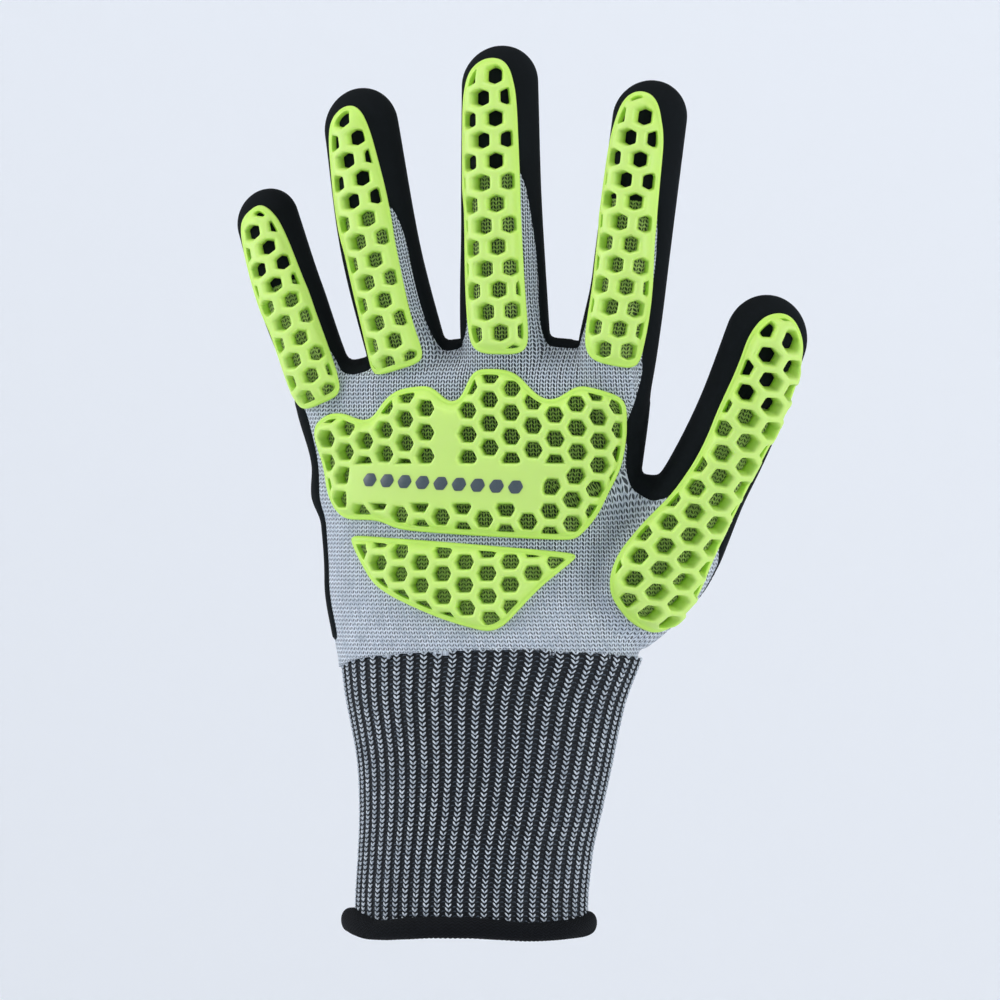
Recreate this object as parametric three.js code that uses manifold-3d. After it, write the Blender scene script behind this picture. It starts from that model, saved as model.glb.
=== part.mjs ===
// Cut-resistant work glove for the left hand, in the form it has on a hand, in millimetres.
// Z runs from the cuff mouth to the fingertips, -Y is the back of the hand, +X is the thumb side.
// The origin is the middle of the cuff mouth. Every piece is its own closed solid, a small gap from the next.
import * as THREE from "three";
import Module from "manifold-3d";

const wasm = await Module();
wasm.setup();

const RAD = Math.PI / 180;
const PIECE_GAP = 0.3;             // clearance kept between pieces that touch in the real glove
const KNIT_WALL = 1.5;             // knitted fabric
const CUFF_TOP = 79.9;             // height of the seam line between cuff and hand, at the side edges
const CUFF_TOP_ARCH = 2.2;         // the seam line is higher at the back and lower at the palm
const ROOT_TAPER = 0.55;           // a finger ends inside the palm, narrowed to this share
const ROOT_LENGTH = 12;            // length of that narrowed end
const TIP_TURNS = [38, 72];        // degrees round the fingertip's curve at which it has a ring
const OVERRUN = 3;                 // a hollow is cut this far past the solid it goes through

const COATING_THICKNESS = 0.7;     // foam dip over the fabric
const COATING_START = 85;          // lower edge of the dip on the palm
const WRAP_LINE = -7.5;            // the dip comes round the side edges to this depth on the back
const COAT_REACH = 45;             // the regions that choose where the dip goes reach this far out
const FULL_COAT_SLOPE = 2;         // length over which the dip closes round a fingertip

const CUFF_WALL = 1.5;
const RIB_COUNT = 50;
const RIB_RELIEF = 0.9;
const HEM_HEIGHT = 7.8;
const HEM_HALF_THICKNESS = 3.3;
const HEM_OUT = 1.0;               // the roll's middle line lies this far outside the cuff's inner rib line

const GUARD_THICKNESS = 2.5;
const GUARD_LIFT_KNIT = 0.75;      // underside above bare fabric, clear of the facets
const GUARD_LIFT_COATED = 1.62;    // underside above the fabric where the dip lies between
const GUARD_RISE_FROM = 10;        // the underside rises between these distances below the coated fingertip
const GUARD_RISE_TO = 3;
const TIP_NARROWEST = 0.35;        // share of a digit's radius that arc lengths on its tip are measured with
const CELL_RADIUS = 2.6;           // corner radius of the six-sided holes in the guards
const CELL_MARGIN = 1.1;           // least web between a hole and the guard's rim
const STUD_MARGIN = 2;             // least distance of a filled cell's middle from the rim
const CELL_ROWS = 20;              // rows and columns of the grid to either side of its start
const LONGEST_EDGE = 8.0;          // guard outlines are divided so that they follow the curve below
const EDGE_SWELL = 0.03;           // divided edges bow outwards by about this much at each division
const EVEN_ROUNDS = 60;            // most rounds of evening out a guard's faces

const FINGER_SEGMENTS = 12;
const PALM_SEGMENTS = 24;
const INNER_FINGER_SEGMENTS = 10;
const INNER_PALM_SEGMENTS = 20;
const HEM_SEGMENTS = 28;
const HEM_PROFILE = 8;             // corners of the roll's cross-section

const KNIT_GREY = "#9aa2ab";
const RIB_GREY = "#6b727b";
const HEM_BLACK = "#121417";
const FOAM_BLACK = "#17191b";
const GUARD_LIME = "#a6cf4a";
const CLOTH_ROUGHNESS = 0.9;
const FOAM_ROUGHNESS = 0.8;
const GUARD_ROUGHNESS = 0.55;

// Hand between cuff and fingers: half widths, and depths to the back and to the palm, at heights z.
const PALM = [
  { z: CUFF_TOP, middle: 5.4, halfWidth: 43.9, back: 24, palm: 22 },
  { z: 102, middle: 1.5, halfWidth: 43.9, back: 20, palm: 21.5 },
  { z: 118, middle: 2.1, halfWidth: 44.4, back: 18.5, palm: 20.5 },
  { z: 135, middle: 2.2, halfWidth: 48.0, back: 17.5, palm: 18.5 },
  { z: 150, middle: 0.8, halfWidth: 51.5, back: 16.5, palm: 15.4 },
  { z: 160, middle: 0.2, halfWidth: 53.0, back: 14.6, palm: 12 },
  { z: 164, middle: 7.5, halfWidth: 43.5, back: 10.5, palm: 8.5 },
  { z: 168, middle: 13, halfWidth: 34, back: 5, palm: 4.5 },
];
const PALM_TOP = 170.5;             // last ring between the finger roots, at PALM_TOP_SCALE of the row below
const PALM_TOP_SCALE = 0.45;
const PALM_BACK_TOP = 162;         // up to here the palm's back is measured for what lies on it
const PALM_ARC_REACH = 0.6 * Math.PI;
const PALM_ARC_STEPS = 240;

// Parts of the palm and its side edges that the dip covers, as ranges across and up.
const PALM_COATS = [
  { from: -80, to: 44, back: WRAP_LINE, bottom: COATING_START, top: 175 },
  { from: 40, to: 62, back: WRAP_LINE, bottom: 122, top: 175 },
  { from: 40, to: 64, back: 6, bottom: COATING_START, top: 130 },
];

// Digits: middle of the root, lean from upright towards +X, roll of the nail side towards +X, and rows of
// half width, half depth, bow towards the palm and drift to the side, at distances along from the root.
const DIGITS = {
  little: {
    root: [-43.3, -3.5, 160.5], lean: -22.5, roll: -4, cap: 9.0,
    coatedFrom: 30, reachAside: 12,
    coats: [{ from: -48, to: 110, chord: 0.5, turn: 10 }],
    rows: [
      { along: -24, halfWidth: 8.5, halfDepth: 9.5, bow: 3.0, drift: 2.5 },
      { along: 0, halfWidth: 8.5, halfDepth: 8.8, bow: 0, drift: 0 },
      { along: 25, halfWidth: 9.2, halfDepth: 8.2, bow: 2.5, drift: -0.5 },
      { along: 48.2, halfWidth: 8.7, halfDepth: 7.6, bow: 9.5, drift: -1.0 },
    ],
  },
  ring: {
    root: [-16.9, -4, 165.0], lean: -13.35, roll: -2, cap: 11.2,
    coatedFrom: 44, reachAside: 13,
    coats: [{ from: -48, to: 110, chord: 0.5, turn: 10 }],
    rows: [
      { along: -24, halfWidth: 11, halfDepth: 11, bow: 2.0, drift: 1.0 },
      { along: 0, halfWidth: 10.9, halfDepth: 10.2, bow: 0, drift: 0 },
      { along: 35, halfWidth: 10.9, halfDepth: 9.6, bow: 2.5, drift: -1.7 },
      { along: 68.5, halfWidth: 10.3, halfDepth: 8.9, bow: 10, drift: -1.7 },
    ],
  },
  middle: {
    root: [11.85, -4.5, 169.5], lean: -3.45, roll: 0, cap: 10.7,
    coatedFrom: 49, reachAside: 14,
    coats: [{ from: -48, to: 110, chord: 0.5, turn: 10 }],
    rows: [
      { along: -24, halfWidth: 12.3, halfDepth: 11.5, bow: 1.5, drift: 0 },
      { along: 0, halfWidth: 12.3, halfDepth: 10.8, bow: 0, drift: 0 },
      { along: 38, halfWidth: 11.1, halfDepth: 10, bow: 2.5, drift: 0.4 },
      { along: 74.1, halfWidth: 10.5, halfDepth: 9.2, bow: 10.5, drift: -0.2 },
    ],
  },
  index: {
    root: [44.8, -4, 168.0], lean: 6.05, roll: 2, cap: 10.4,
    coatedFrom: 42, reachAside: 13,
    coats: [{ from: -48, to: 110, chord: 0.5, turn: 10 }],
    rows: [
      { along: -24, halfWidth: 9.4, halfDepth: 8.5, bow: 2.5, drift: -1 },
      { along: 0, halfWidth: 10.8, halfDepth: 10.6, bow: 0, drift: 0 },
      { along: 20, halfWidth: 10.1, halfDepth: 9.9, bow: 1, drift: 1.1 },
      { along: 65.7, halfWidth: 10.1, halfDepth: 9, bow: 10, drift: 0.1 },
    ],
  },
  thumb: {
    root: [69.6, 4, 132.0], lean: 22, roll: 48, cap: 11.9, endsNarrow: true,
    coatedFrom: 37, reachAside: 20,
    coats: [{ from: -50, to: -6, chord: -0.1, turn: -34 }, { from: -7, to: 110, chord: 0.36, turn: 0 }],
    rows: [
      { along: -57, halfWidth: 8.5, halfDepth: 9, bow: 0, drift: -15 },
      { along: -52, halfWidth: 14, halfDepth: 13, bow: 0, drift: -12.5 },
      { along: -34, halfWidth: 17, halfDepth: 14.5, bow: 0, drift: -6.5 },
      { along: 0, halfWidth: 11.7, halfDepth: 12, bow: 0, drift: 0 },
      { along: 20, halfWidth: 11.7, halfDepth: 11, bow: 0.5, drift: 1.8 },
      { along: 41.7, halfWidth: 11.6, halfDepth: 10.2, bow: 2.5, drift: 2.4 },
    ],
  },
};

// Ribbed cuff, from the hem up: middle, half width and half depth of the ellipse that the ribs stand on.
const CUFF = [
  { z: 8.1, middle: 0.4, halfWidth: 33.0, halfDepth: 22.8 },
  { z: 34, middle: 2.8, halfWidth: 34.4, halfDepth: 23.0 },
  { z: 58, middle: 4.3, halfWidth: 38.0, halfDepth: 23.4 },
  { z: CUFF_TOP - PIECE_GAP, middle: 5.4, halfWidth: 43.0, halfDepth: 23.2 },
];

// Guards: the outline as rows of left and right edges along a digit (arc lengths from its middle line), and
// the six-sided cells as a grid with its own turn, pitch and start.
const DIGIT_GUARDS = {
  little: {
    cells: { turn: -4.7, across: 5.9, up: 5.65, arc: 1.9, along: 50.9, most: 10 },
    rows: [
      { along: 52.2, left: -1.0, right: 3.2 },
      { along: 49.8, left: -4.1, right: 4.4 },
      { along: 43, left: -5.3, right: 5.6 },
      { along: 26, left: -5.8, right: 6.9 },
      { along: 10, left: -6.0, right: 7.3 },
      { along: -4, left: -7.6, right: 7.0 },
      { along: -8.6, left: -6.0, right: 5.2 },
    ],
  },
  ring: {
    cells: { turn: -0.6, across: 5.95, up: 6, arc: 1.4, along: 65.1, most: 14 },
    rows: [
      { along: 74.6, left: -1.8, right: 1.8 },
      { along: 72, left: -4.6, right: 3.4 },
      { along: 67, left: -6.4, right: 4.6 },
      { along: 48, left: -7.2, right: 6.7 },
      { along: 28, left: -6.8, right: 6.8 },
      { along: 10, left: -7.8, right: 6.3 },
      { along: -1, left: -8.8, right: 6.8 },
      { along: -3, left: -7.4, right: 5.4 },
    ],
  },
  middle: {
    cells: { turn: 0.4, across: 6.1, up: 6.1, arc: 1.2, along: 76.1, most: 15 },
    rows: [
      { along: 81, left: -2.6, right: 2.6 },
      { along: 78, left: -5.4, right: 4.9 },
      { along: 71, left: -7.2, right: 6.3 },
      { along: 48, left: -7.3, right: 7.0 },
      { along: 24, left: -7.2, right: 7.7 },
      { along: 0, left: -6.6, right: 8.5 },
      { along: -3.8, left: -5.2, right: 7.2 },
    ],
  },
  index: {
    cells: { turn: 1.2, across: 6, up: 6.05, arc: 0.7, along: 65.8, most: 14 },
    rows: [
      { along: 72.6, left: -3.2, right: 1.6 },
      { along: 69.4, left: -5.9, right: 4.2 },
      { along: 62, left: -7.2, right: 5.9 },
      { along: 44, left: -7.6, right: 6.5 },
      { along: 24, left: -7.7, right: 8.0 },
      { along: 4, left: -7.1, right: 9.2 },
      { along: -2, left: -6.2, right: 8.8 },
      { along: -5, left: -4.4, right: 7.2 },
    ],
  },
  thumb: {
    cells: { turn: -10, across: 6.3, up: 6.05, arc: -0.4, along: 44, most: 14 },
    rows: [
      { along: 50.4, left: -4.8, right: -0.4 },
      { along: 47.6, left: -8.2, right: 2.0 },
      { along: 42, left: -10.4, right: 4.6 },
      { along: 32, left: -10.6, right: 5.8 },
      { along: 20, left: -11.8, right: 5.0 },
      { along: 5, left: -12.0, right: 4.0 },
      { along: -8, left: -13.9, right: 4.0 },
      { along: -19, left: -17.2, right: 4.3 },
      { along: -28, left: -18.7, right: 5.6 },
      { along: -36, left: -16.8, right: 7.6 },
      { along: -42, left: -12.2, right: 7.8 },
      { along: -46.3, left: -4.2, right: 6.4 },
      { along: -48, left: 0.6, right: 3.6 },
    ],
  },
};

// Guards on the back of the hand: outlines as corners (height z, arc length from the middle line).
const BACK_GUARDS = {
  knuckle_guard: {
    cells: { turn: -3, across: 6.1, up: 6.78, arc: 16.5, along: 156.4, most: 22 },
    plain: { z: 130, arc: -3.5, halfWidth: 29, halfHeight: 8.5 },
    corners: [
      { z: 119.3, arc: -37.0 }, { z: 130, arc: -41.5 }, { z: 142.7, arc: -45.0 }, { z: 146.4, arc: -43.8 },
      { z: 149.8, arc: -38.6 }, { z: 149.6, arc: -33.6 }, { z: 147.4, arc: -29.0 }, { z: 148.4, arc: -25.0 },
      { z: 154.4, arc: -21.4 }, { z: 157.0, arc: -18.2 }, { z: 157.6, arc: -9.6 }, { z: 155.4, arc: -6.6 },
      { z: 152.9, arc: -3.0 }, { z: 153.0, arc: 0.2 }, { z: 155.2, arc: 1.9 }, { z: 160.4, arc: 3.8 },
      { z: 162, arc: 6.0 }, { z: 161.6, arc: 16.0 }, { z: 158.8, arc: 19.4 }, { z: 153.4, arc: 24.6 },
      { z: 153.2, arc: 28.0 }, { z: 156.4, arc: 31.4 }, { z: 157.6, arc: 34.4 }, { z: 154.4, arc: 46.8 },
      { z: 151.4, arc: 49.0 }, { z: 137.4, arc: 47.3 }, { z: 128.6, arc: 45.0 }, { z: 121.2, arc: 41.1 },
      { z: 114, arc: 34.8 }, { z: 113.2, arc: 32.6 }, { z: 114.6, arc: 8.0 }, { z: 116.2, arc: -17 },
      { z: 118.6, arc: -22 }, { z: 119.2, arc: -25 },
    ],
  },
  metacarpal_guard: {
    cells: { turn: 0.6, across: 6.35, up: 6.45, arc: 3.3, along: 94.4, most: 12 },
    corners: [
      { z: 114.3, arc: -33.0 }, { z: 114.2, arc: -28.0 }, { z: 113.1, arc: -4.4 }, { z: 109.9, arc: 34.6 },
      { z: 107.6, arc: 33.4 }, { z: 101.0, arc: 25.5 }, { z: 89.6, arc: 13.3 }, { z: 87.6, arc: 9.8 },
      { z: 87.2, arc: 6.0 }, { z: 90.9, arc: -5.4 }, { z: 97.0, arc: -18.8 }, { z: 101.0, arc: -25.0 },
      { z: 108.0, arc: -30.4 },
    ],
  },
};

const mix = (a, b, t) => a + (b - a) * t;

// Straight-line value of the named column of a table, at position `at` of its key column.
function tableValue(rows, key, at, column) {
  if (at <= rows[0][key]) {
    return rows[0][column];
  }
  for (let i = 1; i < rows.length; i += 1) {
    if (at <= rows[i][key]) {
      const share = (at - rows[i - 1][key]) / (rows[i][key] - rows[i - 1][key]);
      return mix(rows[i - 1][column], rows[i][column], share);
    }
  }
  return rows[rows.length - 1][column];
}

// Point on the palm's oval at height z; angle 0 is the back's middle line and runs towards +X.
function palmPoint(z, angle, lift) {
  const depth = tableValue(PALM, "z", z, Math.cos(angle) > 0 ? "back" : "palm");
  return new THREE.Vector3(
    tableValue(PALM, "z", z, "middle") + (tableValue(PALM, "z", z, "halfWidth") + lift) * Math.sin(angle),
    -(depth + lift) * Math.cos(angle),
    z,
  );
}

// Directions of a digit: along it, to its side, and out of its nail side.
function digitAxes(digit) {
  const lean = digit.lean * RAD;
  const roll = digit.roll * RAD;
  const along = new THREE.Vector3(Math.sin(lean), 0, Math.cos(lean));
  const level = new THREE.Vector3(Math.cos(lean), 0, -Math.sin(lean));
  const side = level.clone().multiplyScalar(Math.cos(roll)).add(new THREE.Vector3(0, Math.sin(roll), 0));
  const back = level.clone().multiplyScalar(Math.sin(roll)).add(new THREE.Vector3(0, -Math.cos(roll), 0));
  return { along, level, side, back };
}

// Turn round the fingertip's quarter circle, which starts at the last row.
function tipTurn(digit, along) {
  const start = digit.rows[digit.rows.length - 1].along;
  return Math.min(Math.max((along - start) / digit.cap, 0), Math.PI / 2);
}

// Point on a digit: past the last row the section shrinks over a quarter circle to the tip.
function digitPoint(digit, along, angle, lift) {
  const last = digit.rows[digit.rows.length - 1];
  const before = digit.rows[digit.rows.length - 2];
  const tip = tipTurn(digit, along);
  const at = Math.min(along, last.along);
  const value = (column) => tableValue(digit.rows, "along", at, column);
  const slope = (last.bow - before.bow) / (last.along - before.along);
  const up = at + Math.sin(tip) * (digit.cap + lift);
  const bow = value("bow") + Math.sin(tip) * digit.cap * slope;
  const axes = digitAxes(digit);
  return new THREE.Vector3(...digit.root)
    .addScaledVector(axes.along, up)
    .addScaledVector(axes.level, value("drift"))
    .addScaledVector(axes.side, (value("halfWidth") + lift) * Math.cos(tip) * Math.sin(angle))
    .addScaledVector(axes.back, (value("halfDepth") + lift) * Math.cos(tip) * Math.cos(angle) - bow);
}

function toManifold(vertices, triangles) {
  return new wasm.Manifold(new wasm.Mesh({
    numProp: 3,
    vertProperties: new Float32Array(vertices.flatMap((v) => [v.x, v.y, v.z])),
    triVerts: new Uint32Array(triangles.flat()),
  }));
}

// Closed solid over a stack of rings that all have the same number of points, counter-clockwise from above.
function stackSolid(rings) {
  const count = rings[0].length;
  const vertices = rings.flat();
  const triangles = [];
  for (let r = 0; r + 1 < rings.length; r += 1) {
    for (let i = 0; i < count; i += 1) {
      const a = r * count + i;
      const b = r * count + ((i + 1) % count);
      triangles.push([a, b, b + count], [a, b + count, a + count]);
    }
  }
  const centreOf = (ring) => ring.reduce((sum, v) => sum.add(v), new THREE.Vector3()).divideScalar(count);
  const bottom = vertices.push(centreOf(rings[0])) - 1;
  const top = vertices.push(centreOf(rings[rings.length - 1])) - 1;
  const topStart = (rings.length - 1) * count;
  for (let i = 0; i < count; i += 1) {
    const next = (i + 1) % count;
    triangles.push([bottom, next, i], [top, topStart + i, topStart + next]);
  }
  return toManifold(vertices, triangles);
}

const ringOf = (count, pointAt) => Array.from({ length: count }, (_, i) => pointAt((i / count) * 2 * Math.PI));
const cuffArch = (angle) => CUFF_TOP_ARCH * Math.cos(angle);

// Palm and five digits as one solid, at a distance `lift` from the fabric's outer face. It starts at the
// cuff's seam line, or reaches down past it by `startDrop`.
function handSolid(lift, startDrop, palmSegments = PALM_SEGMENTS, fingerSegments = FINGER_SEGMENTS) {
  const palmRings = PALM.map((row, i) => ringOf(palmSegments, (angle) => {
    const point = palmPoint(row.z, angle, lift);
    point.z += i === 0 ? cuffArch(angle) : 0;
    return point;
  }));
  if (startDrop > 0) {
    palmRings.unshift(palmRings[0].map((point) => point.clone().setZ(point.z - startDrop)));
  }
  palmRings.push(ringOf(palmSegments, (angle) => {
    const last = PALM[PALM.length - 1];
    const point = palmPoint(last.z, angle, lift);
    point.x = mix(last.middle, point.x, PALM_TOP_SCALE);
    point.y *= PALM_TOP_SCALE;
    point.z = PALM_TOP + lift;
    return point;
  }));
  let solid = stackSolid(palmRings);
  for (const digit of Object.values(DIGITS)) {
    const stations = digit.rows.map((row) => row.along);
    const last = stations[stations.length - 1];
    for (const turn of TIP_TURNS) {
      stations.push(last + turn * RAD * digit.cap);
    }
    const ringAt = (along) => ringOf(fingerSegments, (angle) => digitPoint(digit, along, angle, lift));
    const rings = stations.map(ringAt);
    if (!digit.endsNarrow) {
      const middle = digitPoint(digit, stations[0], 0, 0).add(digitPoint(digit, stations[0], Math.PI, 0))
        .multiplyScalar(0.5);
      const inward = digitAxes(digit).along.multiplyScalar(-ROOT_LENGTH - lift);
      rings.unshift(rings[0].map((point) => middle.clone().lerp(point, ROOT_TAPER).add(inward)));
    }
    solid = solid.add(stackSolid(rings));
  }
  return solid;
}

// Region of a digit that the dip reaches: all of it past `coatedFrom`, and before that only the part on the
// palm side of a plane, which stands at a `chord` of the half depth and is turned towards the thumb side.
function coatedDigitRegion(digit, coat) {
  const axes = digitAxes(digit);
  const turn = coat.turn * RAD;
  const out = axes.back.clone().multiplyScalar(Math.cos(turn)).addScaledVector(axes.side, Math.sin(turn));
  const across = axes.side.clone().multiplyScalar(Math.cos(turn)).addScaledVector(axes.back, -Math.sin(turn));
  const chordAt = (along) => coat.chord * tableValue(digit.rows, "along", along, "halfDepth")
    - tableValue(digit.rows, "along", along, "bow");
  const fullFrom = Math.min(digit.coatedFrom, coat.to);
  const bends = digit.rows.map((row) => row.along).filter((along) => along > coat.from && along < fullFrom);
  const profile = [[coat.from, -COAT_REACH], [coat.to, -COAT_REACH]];
  if (coat.to > digit.coatedFrom) {
    profile.push([coat.to, COAT_REACH], [digit.coatedFrom + FULL_COAT_SLOPE, COAT_REACH]);
  }
  for (const along of [fullFrom, ...bends.reverse(), coat.from]) {
    profile.push([along, chordAt(along)]);
  }
  const vertices = [];
  for (const sideways of [-digit.reachAside, digit.reachAside]) {
    for (const [along, back] of profile) {
      vertices.push(new THREE.Vector3(...digit.root).addScaledVector(axes.along, along)
        .addScaledVector(out, back).addScaledVector(across, sideways));
    }
  }
  const count = profile.length;
  const caps = THREE.ShapeUtils.triangulateShape(profile.map((p) => new THREE.Vector2(p[0], p[1])), []);
  const triangles = [];
  for (const [a, b, c] of caps) {
    triangles.push([a, b, c], [a + count, c + count, b + count]);
  }
  for (let i = 0; i < count; i += 1) {
    const j = (i + 1) % count;
    triangles.push([i, i + count, j], [j, i + count, j + count]);
  }
  return orient(vertices, triangles);
}

// Turns every triangle over if the solid came out inside out.
function orient(vertices, triangles) {
  let volume = 0;
  for (const [a, b, c] of triangles) {
    volume += vertices[a].dot(vertices[b].clone().cross(vertices[c]));
  }
  return toManifold(vertices, volume < 0 ? triangles.map(([a, b, c]) => [a, c, b]) : triangles);
}

function boxSolid(low, high) {
  const geometry = new THREE.BoxGeometry(high[0] - low[0], high[1] - low[1], high[2] - low[2]);
  const position = geometry.attributes.position;
  const unique = [];
  const index = Array.from({ length: position.count }, (_, i) => {
    const v = new THREE.Vector3().fromBufferAttribute(position, i);
    v.add(new THREE.Vector3((low[0] + high[0]) / 2, (low[1] + high[1]) / 2, (low[2] + high[2]) / 2));
    const found = unique.findIndex((u) => u.distanceTo(v) < 1e-6);
    return found >= 0 ? found : unique.push(v) - 1;
  });
  const triangles = [];
  for (let i = 0; i < geometry.index.count; i += 3) {
    triangles.push([0, 1, 2].map((k) => index[geometry.index.getX(i + k)]));
  }
  return toManifold(unique, triangles);
}

// Swaps the shared edge of two triangles wherever that makes them less slender, so that no long face cuts
// through the curve below; edges of the rim and of the cells have one triangle each and stay.
function evenOut(plan, faces) {
  const key = (a, b) => a * plan.length + b;
  const turnsLeft = (a, b, c) => plan[b].clone().sub(plan[a]).cross(plan[c].clone().sub(plan[a])) > 1e-9;
  const cosine = (at, a, b) => {
    const u = plan[a].clone().sub(plan[at]);
    const v = plan[b].clone().sub(plan[at]);
    return { cos: u.dot(v) / u.length() / v.length(), sin: Math.abs(u.cross(v)) / u.length() / v.length() };
  };
  for (let round = 0; round < EVEN_ROUNDS; round += 1) {
    const owner = new Map();
    faces.forEach((face, f) => face.forEach((a, i) => owner.set(key(a, face[(i + 1) % 3]), f)));
    const touched = new Set();
    for (const [edge, f] of owner) {
      const a = Math.floor(edge / plan.length);
      const b = edge % plan.length;
      const g = owner.get(key(b, a));
      if (g === undefined || touched.has(f) || touched.has(g)) {
        continue;
      }
      const c = faces[f].find((v) => v !== a && v !== b);
      const d = faces[g].find((v) => v !== a && v !== b);
      const near = cosine(c, a, b);
      const far = cosine(d, a, b);
      if (near.sin * far.cos + near.cos * far.sin < -1e-6 && turnsLeft(a, d, c) && turnsLeft(d, b, c)) {
        faces[f] = [a, d, c];
        faces[g] = [d, b, c];
        touched.add(f);
        touched.add(g);
      }
    }
    if (touched.size === 0) {
      break;
    }
  }
}

// Guard: its plan with cut-through cells is laid on the surface by `place(along, arc, lift)`. Each of the
// `studs`, the middles of cells that are left filled, divides the face that it lies in.
function guardSolid(outline, cells, studs, place, liftAt) {
  const outwardSign = THREE.ShapeUtils.isClockWise(outline) ? -1 : 1;
  const divided = outline.flatMap((corner, i) => {
    const next = outline[(i + 1) % outline.length];
    const steps = Math.ceil(corner.distanceTo(next) / LONGEST_EDGE);
    const outward = new THREE.Vector2(next.y - corner.y, corner.x - next.x);
    outward.normalize().multiplyScalar(outwardSign);
    return Array.from({ length: steps }, (_, s) => corner.clone().lerp(next, s / steps)
      .addScaledVector(outward, EDGE_SWELL * s * (steps - s)));
  });
  const rim = THREE.ShapeUtils.isClockWise(divided) ? divided.reverse() : divided;
  const loops = [rim, ...cells.map((cell) => [...cell].reverse())];
  const plan = loops.flat();
  const area = (p, q, r) => q.clone().sub(p).cross(r.clone().sub(p));
  const rough = THREE.ShapeUtils.triangulateShape(loops[0], loops.slice(1));
  const facesUp = rough.reduce((sum, [a, b, c]) => sum + area(plan[a], plan[b], plan[c]), 0) > 0;
  const faces = rough.map((face) => (facesUp ? face : [...face].reverse()));
  for (const stud of studs) {
    const isLeftOf = (a, b) => area(plan[a], plan[b], stud) > 0;
    const around = faces.findIndex((face) => face.every((a, i) => isLeftOf(a, face[(i + 1) % 3])));
    const [a, b, c] = faces[around];
    const middle = plan.push(stud) - 1;
    faces.splice(around, 1, [a, b, middle], [b, c, middle], [c, a, middle]);
  }
  evenOut(plan, faces);
  const vertices = [];
  for (const rise of [0, GUARD_THICKNESS]) {
    for (const p of plan) {
      vertices.push(place(p.y, p.x, liftAt(p.y) + rise));
    }
  }
  const count = plan.length;
  const triangles = faces.flatMap(([a, b, c]) => [[a + count, b + count, c + count], [c, b, a]]);
  let start = 0;
  for (const loop of loops) {
    for (let i = 0; i < loop.length; i += 1) {
      const a = start + i;
      const b = start + ((i + 1) % loop.length);
      triangles.push([a, b, b + count], [a, b + count, a + count]);
    }
    start += loop.length;
  }
  return orient(vertices, triangles);
}

function contains(outline, p) {
  let inside = false;
  outline.forEach((a, i) => {
    const b = outline[(i + 1) % outline.length];
    if (a.y > p.y !== b.y > p.y && p.x < mix(a.x, b.x, (p.y - a.y) / (b.y - a.y))) {
      inside = !inside;
    }
  });
  return inside;
}

// Six-sided holes on a staggered grid that fit whole within the outline, `most` of them from the tip down;
// `upright` puts corners up and down. The middles of the filled cells come back as studs.
function hexCells(outline, grid, upright, keepOut) {
  const found = [];
  const studs = [];
  const turn = grid.turn * RAD;
  for (let row = -CELL_ROWS; row <= CELL_ROWS; row += 1) {
    for (let column = -CELL_ROWS; column <= CELL_ROWS; column += 1) {
      const stagger = upright ? Math.abs(row % 2) / 2 : 0;
      const lift = upright ? 0 : Math.abs(column % 2) / 2;
      const dx = (column + stagger) * grid.across;
      const dy = -(row + lift) * grid.up;
      const x = grid.arc + dx * Math.cos(turn) - dy * Math.sin(turn);
      const y = grid.along + dx * Math.sin(turn) + dy * Math.cos(turn);
      const corner = (radius, k) => {
        const angle = (k * 60 + (upright ? 30 : 0)) * RAD + turn;
        return new THREE.Vector2(x + radius * Math.cos(angle), y + radius * Math.sin(angle));
      };
      const wide = [0, 1, 2, 3, 4, 5].map((k) => corner(CELL_RADIUS + CELL_MARGIN, k));
      const hole = [0, 1, 2, 3, 4, 5].map((k) => corner(CELL_RADIUS, k));
      if (wide.every((p) => contains(outline, p)) && !keepOut(x, y)) {
        found.push({ hole, middle: new THREE.Vector2(x, y) });
      } else if ([0, 1, 2, 3, 4, 5].every((k) => contains(outline, corner(STUD_MARGIN, k)))) {
        studs.push(new THREE.Vector2(x, y));
      }
    }
  }
  found.sort((a, b) => b.middle.y - a.middle.y);
  return {
    holes: found.slice(0, grid.most).map((cell) => cell.hole),
    studs: [...studs, ...found.slice(grid.most).map((cell) => cell.middle)],
  };
}

// Angle on the palm's oval at height z whose arc length from the back's middle line is `arc`.
function palmAngle(z, arc) {
  const halfWidth = tableValue(PALM, "z", z, "halfWidth");
  const back = tableValue(PALM, "z", z, "back");
  const turn = PALM_ARC_REACH / PALM_ARC_STEPS;
  let length = 0;
  for (let i = 0; i < PALM_ARC_STEPS; i += 1) {
    const angle = (i + 0.5) * turn;
    const step = Math.hypot(halfWidth * Math.cos(angle), back * Math.sin(angle)) * turn;
    if (length + step >= Math.abs(arc)) {
      return Math.sign(arc) * (i + (Math.abs(arc) - length) / step) * turn;
    }
    length += step;
  }
  return Math.sign(arc) * PALM_ARC_REACH;
}

// Point above the palm's back, measured square to the oval.
function abovePalm(z, arc, lift) {
  const angle = palmAngle(z, arc);
  const point = palmPoint(z, angle, 0);
  const normal = new THREE.Vector3(
    Math.sin(angle) / tableValue(PALM, "z", z, "halfWidth"),
    -Math.cos(angle) / tableValue(PALM, "z", z, "back"),
    0,
  ).normalize();
  return raised(point.addScaledVector(normal, lift), lift);
}

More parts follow.
